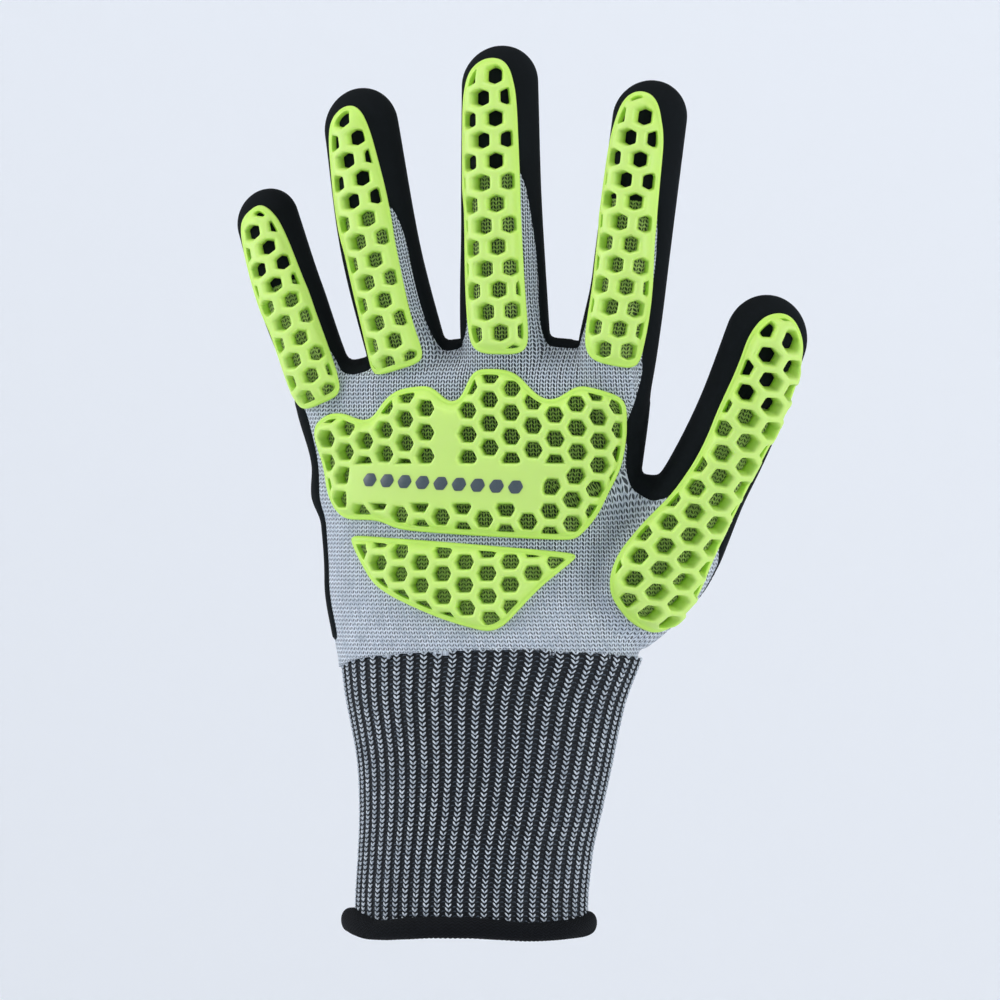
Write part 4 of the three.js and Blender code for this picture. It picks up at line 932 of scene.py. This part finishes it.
def latticeCells(curve, lattice, plates, solid):
    # a cell has six half planes midway to its neighbours and one along each plate's edge; its middle is the
    # point of it that lies deepest within them and the outline
    turn = math.radians(lattice["turn"])
    spin = np.array([[math.cos(turn), -math.sin(turn)], [math.sin(turn), math.cos(turn)]])
    if lattice["pointed"]:
        first, second = np.array([lattice["across"], 0]), np.array([lattice["across"] / 2, -lattice["up"]])
    else:
        first, second = np.array([0, -lattice["up"]]), np.array([lattice["across"], -lattice["up"] / 2])
    first, second = spin @ first, spin @ second
    i, j = np.meshgrid(np.arange(-40, 41), np.arange(-40, 41), indexing="ij")
    centres = np.array(lattice["start"]) + i.ravel()[:, None] * first + j.ravel()[:, None] * second
    centres = centres[rimDistance(curve, centres) > -3.0]
    for place in solid:
        # cells inside this ellipse stay solid
        away = (centres - np.array(place["middle"])) / np.array(place["half"])
        centres = centres[(away ** 2).sum(1) > 1]
    steps = np.array([first, second, second - first, -first, -second, first - second])
    size = np.linalg.norm(steps, axis=1)
    normals = np.broadcast_to(steps / size[:, None], (len(centres), 6, 2))
    limits = np.broadcast_to(size / 2, (len(centres), 6))
    for plate in plates:
        # cells that a plain plate covers are cut off level at its edges
        away = centres - np.array(plate["middle"])
        square = np.abs(away) / np.array(plate["half"])
        sideways = square[:, 0] > square[:, 1]
        normal = np.where(sideways[:, None], np.stack([-np.sign(away[:, 0]), 0 * away[:, 0]], 1),
                          np.stack([0 * away[:, 0], -np.sign(away[:, 1])], 1))
        reach = np.where(sideways, np.abs(away[:, 0]) - plate["half"][0], np.abs(away[:, 1]) - plate["half"][1])
        normals = np.concatenate([normals, normal[:, None]], 1)
        limits = np.concatenate([limits, reach[:, None]], 1)
    u, v = np.meshgrid(np.linspace(-3.0, 3.0, 15), np.linspace(-3.0, 3.0, 15))
    tries = np.stack([u.ravel(), v.ravel()], 1)
    room = (limits[:, None] - np.einsum("tk,cnk->ctn", tries, normals) - guard["sideRoom"]).min(2)
    toRim = rimDistance(curve, (centres[:, None] + tries[None]).reshape(-1, 2)).reshape(room.shape)
    room = np.minimum(room, toRim - guard["rimClear"])
    best = room.argmax(1)
    kept = room.max(1) > guard["leastRoom"]
    offset = tries[best]
    limits = limits - (normals * offset[:, None]).sum(2)
    return (centres + offset)[kept], normals[kept], limits[kept], turn


def cellRing(curve, centres, normals, limits, inset, angles):
    # along each ray, how far to the half planes, drawn in by the inset, and to the circles of the rim's
    # clearance round the outline's points; 1 / (sum of (1 / distance)^p)^(1/p) rounds the corners
    ray = np.stack([np.cos(angles), np.sin(angles)], 1)
    facing = np.maximum(np.einsum("ak,cnk->can", ray, normals), 0)
    toSides = facing / np.maximum(limits - inset, 0.2)[:, None]
    toPoint = curve[None] - centres[:, None]
    forward = np.einsum("cmk,ak->cam", toPoint, ray)
    aside = toPoint[:, None, :, 0] * ray[None, :, 1, None] - toPoint[:, None, :, 1] * ray[None, :, 0, None]
    clear = guard["rimClear"] + 0.45 * (inset - guard["wall"][0][0])
    chord = forward - np.sqrt(np.maximum(clear ** 2 - aside ** 2, 0))
    toRim = np.where((np.abs(aside) < clear) & (forward > 0), chord, 99.0).min(2)
    powers = (toSides ** guard["cornering"]).sum(2) + (1 / np.maximum(toRim, 0.2)) ** guard["cornering"]
    return centres[:, None] + ray[None] * (powers ** (-1.0 / guard["cornering"]))[..., None]


def insideRing(centres, ring, angles, points, clear):
    # polar test against each cell's ring, widened by clear
    away = points[:, None] - centres[None]
    turned = (np.arctan2(away[..., 1], away[..., 0]) - angles[0]) / (angles[1] - angles[0]) % len(angles)
    low = turned.astype(int) % len(angles)
    share = turned - np.floor(turned)
    radius = np.linalg.norm(ring - centres[:, None], axis=2)
    column = np.arange(len(centres))[None]
    there = radius[column, low] * (1 - share) + radius[column, (low + 1) % len(angles)] * share
    return (np.linalg.norm(away, axis=2) < there + clear).any(1)


def webTriangles(points, loops, curve):
    # constrained triangulation, without the faces inside a cell or outside the outline
    edges = [(int(a), int(b)) for loop in loops for a, b in zip(loop, np.roll(loop, -1))]
    result = delaunay_2d_cdt([Vector((float(p[0]), float(p[1]))) for p in points], edges, [], 0, 1e-6)
    original = np.array([ids[0] if ids else -1 for ids in result[3]])
    triangles = original[np.array(result[2])]
    triangles = triangles[(triangles >= 0).all(1)]
    owner = np.full(len(points), -1)
    for k, loop in enumerate(loops):
        owner[loop] = k
    same = (owner[triangles] == owner[triangles][:, :1]).all(1) & (owner[triangles][:, 0] >= 0)
    inCell = same & (owner[triangles][:, 0] > 0)
    triangles = triangles[~inCell & insideCurve(curve, points[triangles].mean(1))]
    a, b, c = (points[triangles[:, k]] for k in range(3))
    area = (b - a)[:, 0] * (c - a)[:, 1] - (b - a)[:, 1] * (c - a)[:, 0]
    triangles[area < 0] = triangles[area < 0][:, ::-1]
    return triangles[np.abs(area) > 1e-7]


def guardPlan(corners, lattice, top, plates=(), solid=()):
    # plan points (arc, along, height) and the faces of the whole guard, top, walls, rim and underside
    curve = closedCurve(corners, guard["outlineStep"])
    inward = inwardOf(curve)
    centres, normals, limits, turn = latticeCells(curve, lattice, plates, solid)
    facets = guard["facets"]
    angles = turn + np.arange(facets) * 2 * math.pi / facets + (math.pi / 6 if lattice["pointed"] else 0)
    rimRings = [np.column_stack([curve + inward * inset, np.full(len(curve), height)])
                for inset, height in guard["rim"]]
    wallRings = []
    for inset, depth in guard["wall"]:
        flat = cellRing(curve, centres, normals, limits, inset, angles).reshape(-1, 2)
        height = webHeight(curve, flat, top) * (1 - depth) + guard["bottom"] * depth
        wallRings.append(np.column_stack([flat, height]))
    innerRim = curve + inward * guard["rim"][-1][0]
    # extra points on the slope behind the rim and on plain areas, clear of the cells
    extras = [curve[::2] + inward[::2] * inset for inset in guard["slopeInsets"]]
    low, high, step = curve.min(0), curve.max(0), guard["webStep"]
    u, v = np.meshgrid(np.arange(low[0], high[0], step), np.arange(low[1], high[1], step))
    extras.append(np.stack([(u + (np.arange(u.shape[0]) % 2)[:, None] * step / 2).ravel(), v.ravel()], 1))
    extras = np.vstack(extras)
    extras = extras[rimDistance(curve, extras) > 1.72]
    firstRing = wallRings[0][:, :2].reshape(len(centres), facets, 2)
    extras = extras[~insideRing(centres, firstRing, angles, extras, 0.22)]
    count, cellCount, rim = len(curve), len(centres), len(guard["rim"])
    plan = np.vstack(rimRings + wallRings + [np.column_stack([extras, webHeight(curve, extras, top)])])
    wallStart = count * rim
    ringSize = cellCount * facets
    extraStart = wallStart + ringSize * len(wallRings)
    quads = [gridQuads(rim, count)]
    cell = (np.arange(cellCount) * facets)[:, None]
    here = np.arange(facets)[None]
    for k in range(len(wallRings) - 1):
        a, b = wallStart + k * ringSize + cell + here, wallStart + k * ringSize + cell + (here + 1) % facets
        quads.append(np.stack([a, b, b + ringSize, a + ringSize], -1).reshape(-1, 4))
    topLoops = [np.arange(count)] + [count + k * facets + np.arange(facets) for k in range(cellCount)]
    topPoints = np.vstack([innerRim, wallRings[0][:, :2], extras])
    toPlan = np.concatenate([(rim - 1) * count + np.arange(count), wallStart + np.arange(ringSize),
                             extraStart + np.arange(len(extras))])
    upper = toPlan[webTriangles(topPoints, topLoops, innerRim)]
    bottomPoints = np.vstack([curve, wallRings[-1][:, :2]])
    lastRing = wallStart + ringSize * (len(wallRings) - 1)
    toPlan = np.concatenate([np.arange(count), lastRing + np.arange(ringSize)])
    lower = toPlan[webTriangles(bottomPoints, topLoops, curve)][:, ::-1]
    return plan, np.vstack(quads), np.vstack([upper, lower]), curve


def softMinimum(a, b, width):
    # the lower of two values, rounded over width where they cross
    t = np.clip(0.5 + 0.5 * (b - a) / width, 0, 1)
    return b * (1 - t) + a * t - width * t * (1 - t)


def onDigit(name, plan):
    # on the digit's ellipse, and never below the back of the hand where the digit runs into it
    digit = digits[name]
    arc, along, height = plan.T
    at = np.minimum(along, digit["along"][-1])
    tip = np.clip((along - digit["along"][-1]) / digit["cap"], 0, math.pi / 2)
    radius = (alongTable(digit, "along", "halfWidth", at) + alongTable(digit, "along", "halfDepth", at)) / 2
    onFoam = smoothStep(dip[name]["tip"] - 12, dip[name]["tip"] - 4, along) * (height > 0)
    lift = height + guard["coatLift"] * onFoam
    points = digitPoint(digit, along, arc / (radius * np.maximum(np.cos(tip), 0.35)), lift)
    z = points[:, 2]
    aside = (points[:, 0] - alongTable(palm, "z", "middle", z)) / (alongTable(palm, "z", "halfWidth", z) + lift)
    surface = -(alongTable(palm, "z", "back", z) + lift) * np.sqrt(np.clip(1 - aside ** 2, 0, 1))
    near = (z < 161) & (np.abs(aside) < 1)
    points[:, 1] = np.where(near, softMinimum(points[:, 1], surface, 1.2), points[:, 1])
    return points


def onBack(plan):
    # on the palm's back ellipse, found by its arc length, and never below the roots of the fingers
    arc, z, lift = plan.T
    ownZ, z = z, np.minimum(z, guard["backTop"])
    wide, deep = alongTable(palm, "z", "halfWidth", z), alongTable(palm, "z", "back", z)
    grid = (np.arange(160) + 0.5) / 160 * 0.6 * math.pi
    speed = np.hypot(wide[:, None] * np.cos(grid), deep[:, None] * np.sin(grid)) * grid[0] * 2
    length = np.concatenate([np.zeros((len(z), 1)), np.cumsum(speed, 1)], 1)
    cell = np.clip((length < np.abs(arc)[:, None]).sum(1) - 1, 0, 159)
    row = np.arange(len(z))
    inCell = (np.abs(arc) - length[row, cell]) / speed[row, cell]
    angle = np.sign(arc) * (cell + inCell) / 160 * 0.6 * math.pi
    points = palmPoint(z, angle, 0.0)
    normal = np.stack([np.sin(angle) / wide, -np.cos(angle) / deep, 0 * z], 1)
    points += normal / np.linalg.norm(normal, axis=1, keepdims=True) * lift[:, None]
    points[:, 2] = ownZ
    for name in ("little", "ring", "middle", "index"):
        digit = digits[name]
        axisAlong, level, side, back = digitAxes(digit)
        local = points - np.array(digit["root"])
        along = local @ axisAlong
        across = local @ level - alongTable(digit, "along", "drift", along)
        aside = across / (alongTable(digit, "along", "halfWidth", along) + lift)
        face = digit["root"][1] + alongTable(digit, "along", "bow", along) \
            - (alongTable(digit, "along", "halfDepth", along) + lift) * np.sqrt(np.clip(1 - aside ** 2, 0, 1))
        points[:, 1] = np.where(np.abs(aside) < 1, softMinimum(points[:, 1], face, 1.2), points[:, 1])
    return points


# Guards: injection-moulded thermoplastic rubber, lime, satin from the mould's fine spark texture. Their colour by
# height is painted light:
# paler lime on the thin web tops for the light through and on them, saturated lime down the deep walls for the
# shade there.
rubberMaterial, shader = newMaterial("moulded_rubber_lime", Roughness=0.48, Specular_IOR_Level=0.4,
                                     Subsurface_Weight=0.5, Subsurface_Scale=0.0016,
                                     Subsurface_Radius=(0.8, 1.0, 0.3))
riseLightValue = addNode(rubberMaterial, "Attribute", attribute_name="rise")
spots = addNode(rubberMaterial, "TexCoord")
grain = addNode(rubberMaterial, "TexNoise", {"Vector": (spots, "Object"), "Scale": 3200.0, "Detail": 2.0})
cloud = addNode(rubberMaterial, "TexNoise", {"Vector": (spots, "Object"), "Scale": 70.0, "Detail": 2.0})
rise = addNode(rubberMaterial, "Math", {0: (cloud, "Fac"), 1: 0.25, 2: -0.125}, operation="MULTIPLY_ADD")
rise = addNode(rubberMaterial, "Math", {0: (riseLightValue, "Fac"), 1: rise}, operation="ADD")
# saturated lime low in the cells to paler lime on the web tops: painted light and shade, with a cloud of random
# tone
finishSurface(rubberMaterial, shader, rise, "#B2DE4A", "#BBDA74", (grain, "Fac"), 0.25, 0.00006)

# the lattice of each guard's cells: its turn in degrees, its steps across and up, and one cell's middle; left and
# right edges are points (length along the digit, arc from its nail's middle), outlines are points (arc, height)
digitGuards = {
    "little": {
        "lattice": {"turn": -4.7, "across": 5.87, "up": 5.66, "start": (1.9, 50.9), "pointed": True},
        "left": [(52.4, 0.4), (50.3, -4.6), (43, -6.4), (26, -7.0), (11, -7.0), (-2.6, -9.6), (-8.4, -7.8)],
        "right": [(52.6, 1.9), (48.2, 4.9), (38, 6.4), (20.3, 7.6), (4.8, 7.9), (-6, 7.1), (-8.7, 5.0)]},
    "ring": {
        "lattice": {"turn": -0.6, "across": 5.94, "up": 5.98, "start": (1.4, 65.1), "pointed": True},
        "left": [(74.9, -1.2), (72, -4.9), (67, -6.9), (48, -8.2), (28, -7.6), (10, -8.3), (-1, -9.4),
                 (-3.3, -7.6)],
        "right": [(74.6, 1.6), (71, 3.8), (64.2, 5.0), (45.7, 6.9), (27.6, 7.0), (10.8, 6.4), (-0.6, 7.2),
                  (-2.7, 5.8)]},
    "middle": {
        "lattice": {"turn": 0.4, "across": 6.08, "up": 6.12, "start": (1.2, 76.1), "pointed": True},
        "left": [(81.3, -1.6), (78, -5.8), (70.8, -8.2), (52, -8.5), (24, -8.4), (4.7, -7.7), (-2.8, -6.0)],
        "right": [(81.0, 2.2), (77.6, 5.0), (70.8, 6.5), (48.2, 7.4), (18.3, 8.2), (0.1, 9.1), (-4.0, 7.4)]},
    "index": {
        "lattice": {"turn": 1.2, "across": 6.00, "up": 6.03, "start": (0.7, 65.8), "pointed": True},
        "left": [(72.9, -2.6), (69.6, -5.9), (59.3, -8.5), (51.6, -9.0), (24.3, -9.2), (1.3, -7.8), (-4.3, -4.8)],
        "right": [(72.7, 1.0), (69, 4.0), (60.8, 6.2), (47.7, 6.7), (36.9, 7.2), (8.9, 9.8), (-2.6, 9.3),
                  (-5.6, 7.6)]},
    "thumb": {
        "lattice": {"turn": -10.1, "across": 6.28, "up": 6.03, "start": (-0.4, 44.0), "pointed": True},
        "left": [(50.9, -3.0), (47.9, -7.6), (42.8, -10.4), (33.2, -10.6), (19.6, -12.1), (4.8, -12.3),
                 (-7.9, -14.3), (-18.1, -17.7), (-28.1, -19.2), (-35.2, -17.6), (-40.9, -13.6), (-46.2, -4.4)],
        "right": [(50.9, -0.6), (48.9, 1.6), (44.3, 4.8), (35.1, 7.6), (21.3, 6.8), (5.4, 5.3), (-8, 5.2),
                  (-21.7, 5.8), (-34.8, 9.2), (-44.4, 9.0), (-47.6, 4.4)]},
}
backGuards = {
    "knuckle_guard": {
        "lattice": {"turn": -3, "across": 6.1, "up": 6.78, "start": (16.5, 156.4), "pointed": False},
        "plates": [{"middle": (-3.5, 129.6), "half": (27.5, 4.6)}],
        "solid": [{"middle": (-2.9, 139.5), "half": (5.4, 8.5)}],
        "outline": [(-37.4, 119.3), (-42.2, 130.5), (-46.4, 142.6), (-45.2, 146.2), (-39.5, 149.7),
                    (-34.3, 149.6), (-31.2, 148.1), (-28.3, 147.4), (-25.2, 148.2), (-22.8, 151.4),
                    (-20.4, 154.2), (-16.8, 156.4),
                    (-12.0, 157.1), (-7.7, 157.4), (-5.0, 155.4), (-2.6, 152.8), (0.7, 152.7), (2.6, 155.6),
                    (4.6, 160.6), (6.8, 162.2), (15.6, 161.9), (19.2, 159.4), (22.4, 155.6), (25.4, 153.4),
                    (28.7, 153.2), (32.4, 155.6), (35.3, 157.5), (42.0, 156.2), (48.2, 154.3), (49.8, 152.0),
                    (48.9, 145.3), (47.4, 137.3), (44.9, 128.6), (41.0, 121.2), (34.8, 114.1), (32.6, 113.4),
                    (8.0, 114.6), (-17.1, 116.3), (-22.2, 118.5), (-25.2, 119.2)]},
    "metacarpal_guard": {
        "lattice": {"turn": 0.6, "across": 6.35, "up": 6.45, "start": (3.3, 94.4), "pointed": False},
        "plates": [],
        "solid": [],
        "outline": [(-33.8, 114.6), (-32.0, 114.9), (-4.7, 113.2), (35.4, 109.9), (34.1, 108.2), (25.5, 101.2),
                    (13.8, 89.9), (10.2, 87.9), (6.8, 87.7), (-5.0, 91.2), (-18.7, 97.1), (-25.3, 101.1),
                    (-30.5, 108.5)]},
}


def addGuard(name, points, plan, quads, triangles, top, node):
    mesh = meshOf(name, points, quads, triangles)
    # each point's share of the guard's height, which the rubber's painted light and shade read
    setValue(mesh, "rise", np.clip((plan[:, 2] - guard["bottom"]) / (top - guard["bottom"]), 0, 1))
    addPiece(name, mesh, rubberMaterial, "guard", node)
    print("  ", name, "triangles", 2 * len(quads) + len(triangles))


def underGuard(curve, plane):
    # 1 where a point of the surface, given by its arc and its place along, lies well inside the outline
    result = np.zeros(len(plane))
    close = ((plane > curve.min(0) + 0.5) & (plane < curve.max(0) - 0.5)).all(1)
    result[close] = smoothStep(0.6, 1.8, rimDistance(curve, plane[close]))
    return result


print("guards")
# how far each vertex lies inside a guard's outline, which sets where the knit gets its painted cell shade
cellShade = np.zeros(len(handPoints))
for name, shape in digitGuards.items():
    corners = [(arc, along) for along, arc in shape["left"] + shape["right"][::-1]]
    top = guard["top"][name]
    plan, quads, triangles, curve = guardPlan(corners, shape["lattice"], top)
    title = "thumb" if name == "thumb" else name + "_finger"
    addGuard(title + "_honeycomb", onDigit(name, plan), plan, quads, triangles, top, title + "_guard")
    plane = np.stack([placed[name][2], placed[name][1]], 1)
    plane[placed[name][0] > 4] = 1e3
    cellShade = np.maximum(cellShade, underGuard(curve, plane))
for name, shape in backGuards.items():
    top = guard["top"][name]
    plan, quads, triangles, curve = guardPlan(shape["outline"], shape["lattice"], top, shape["plates"],
                                              shape["solid"])
    addGuard(name.replace("guard", "honeycomb"), onBack(plan), plan, quads, triangles, top, name)
    cellShade = np.maximum(cellShade, underGuard(curve, handMap))
setValue(fabricMesh, "cellShade", cellShade[np.unique(keptQuads)])

# plain marks on the knuckle plate: a row of six-sided pads, inked charcoal
marks = {
    "count": 9, "pitch": 5.3, "radius": 2.0, "middle": (-3.5, 129.6), "proud": 0.16,
    "fall": 0.26,           # from each pad to the next, along the plate
    "inner": 0.93,          # the pads' flat tops, as a share of their outline
}
print("marks")
steps = np.arange(marks["count"]) - (marks["count"] - 1) / 2
middles = np.stack([marks["middle"][0] + steps * marks["pitch"], marks["middle"][1] - steps * marks["fall"]], 1)
angles = np.arange(24) * math.pi / 12
reach = np.stack([np.cos(angles - k * math.pi / 3 - math.pi / 6) for k in range(6)], 0).clip(0)
outline = marks["radius"] * 0.93 / ((reach ** 14).sum(0) ** (1 / 14.0))  # six sides with rounded corners
ray = np.stack([np.cos(angles), np.sin(angles)], 1)
plan, quads, triangles = [], [], []
plateTop = guard["top"]["knuckle_guard"]
for scale, rise in [(1.0, -0.3), (1.0, marks["proud"] * 0.6), (marks["inner"], marks["proud"])]:
    flat = middles[:, None] + ray[None] * (outline * scale)[None, :, None]
    plan.append(np.concatenate([flat, np.full(flat.shape[:2] + (1,), plateTop + rise)], 2))
plan = np.stack(plan, 1)
base = (np.arange(marks["count"]) * 72)[:, None, None]
quads = (gridQuads(3, 24)[None] + base).reshape(-1, 4)
fan = np.stack([np.zeros(22, int), np.arange(1, 23), np.arange(2, 24)], 1)
triangles = np.concatenate([(fan[None] + 48 + base).reshape(-1, 3), (fan[None, :, ::-1] + base).reshape(-1, 3)])
# Print: charcoal pad-printed ink, smoother than the rubber.
inkMaterial, shader = newMaterial("pad_ink_charcoal", Roughness=0.42)
spots = addNode(inkMaterial, "TexCoord")
grain = addNode(inkMaterial, "TexNoise", {"Vector": (spots, "Object"), "Scale": 1500.0, "Detail": 2.0})
finishSurface(inkMaterial, shader, (grain, "Fac"), "#333F46", "#414E56")
markMesh = meshOf("plate_marks", onBack(plan.reshape(-1, 3)), quads, triangles)
addPiece("plate_marks", markMesh, inkMaterial, "guard")

# plain studio in metres: a pale bowl that curves up all round, large lamps left, right and above, and one on the
# bowl behind the glove
studio = {
    "floor": -0.30, "radius": 3.2, "curve": 1.0, "height": 3.2, "glow": 0.275, "sky": 0.25,
    # each lamp: place, aim, size and watts
    "lamps": {
        "left": ((-1.75, -0.75, 0.75), (0, 0, 0.13), (0.9, 1.3), 24),
        "right": ((1.85, -0.55, 0.45), (0, 0, 0.13), (0.9, 1.3), 19),
        "top": ((0.0, -0.35, 1.9), (0, 0, 0.13), (1.2, 1.0), 16),
        "behind": ((0.2, 1.6, 1.0), (0, 2.6, 0.2), (1.4, 0.8), 12),
    },
}
print("studio")
angle = np.linspace(0, 2 * math.pi, 96, endpoint=False)[None, :]
bend = np.linspace(0, math.pi / 2, 16)
radius, curve = studio["radius"], studio["curve"]
profileR = np.concatenate([[0.002, 0.5, 1.2], radius + curve * np.sin(bend), [radius + curve]])[:, None]
profileZ = np.concatenate([[0, 0, 0], curve * (1 - np.cos(bend)), [studio["height"]]])[:, None] + studio["floor"]
bowl = np.stack(np.broadcast_arrays(profileR * np.sin(angle), -profileR * np.cos(angle), profileZ), -1)
bowlMesh = meshOf("backdrop", bowl.reshape(-1, 3) / mm, gridQuads(len(profileR), 96)[:, ::-1])
paperMaterial, shader = newMaterial("backdrop_paper", Base_Color="#DCDFE3", Roughness=0.9,
                                    Emission_Color="#E6EBF5", Emission_Strength=studio["glow"])
bowlMesh.materials.append(paperMaterial)
backdrop = bpy.data.objects.new("backdrop", bowlMesh)
bpy.context.scene.collection.objects.link(backdrop)
for name, (place, aim, size, power) in studio["lamps"].items():
    lamp = bpy.data.lights.new(name, "AREA")
    lamp.shape = "RECTANGLE"
    lamp.size, lamp.size_y = size
    lamp.energy = power
    made = bpy.data.objects.new(name, lamp)
    made.location = place
    made.rotation_euler = (Vector(aim) - Vector(place)).to_track_quat("-Z", "Y").to_euler()
    made.visible_camera = False
    bpy.context.scene.collection.objects.link(made)
world = bpy.data.worlds.new("studio_light")
world.use_nodes = True
world.node_tree.nodes["Background"].inputs["Color"].default_value = linearColour("#FFFFFF")
world.node_tree.nodes["Background"].inputs["Strength"].default_value = studio["sky"]
bpy.context.scene.world = world

# camera: 16 degrees round to the thumb side of the back, level, 3 m away, long lens
view = {"azimuth": 16.0, "distance": 3.0, "target": (0.00824, 0.00236, 0.1249), "lens": 378.9}
turn = math.radians(view["azimuth"])
lensData = bpy.data.cameras.new("camera")
lensData.lens = view["lens"]
lensData.sensor_width = 36.0
lensData.clip_end = 20.0
camera = bpy.data.objects.new("camera", lensData)
camera.location = Vector(view["target"]) + Vector((math.sin(turn), -math.cos(turn), 0)) * view["distance"]
camera.rotation_euler = (Vector(view["target"]) - camera.location).to_track_quat("-Z", "Y").to_euler()
bpy.context.scene.collection.objects.link(camera)
bpy.context.scene.camera = camera

# the photograph's own contrast: no film curve over the colours
bpy.context.scene.view_settings.view_transform = "Standard"
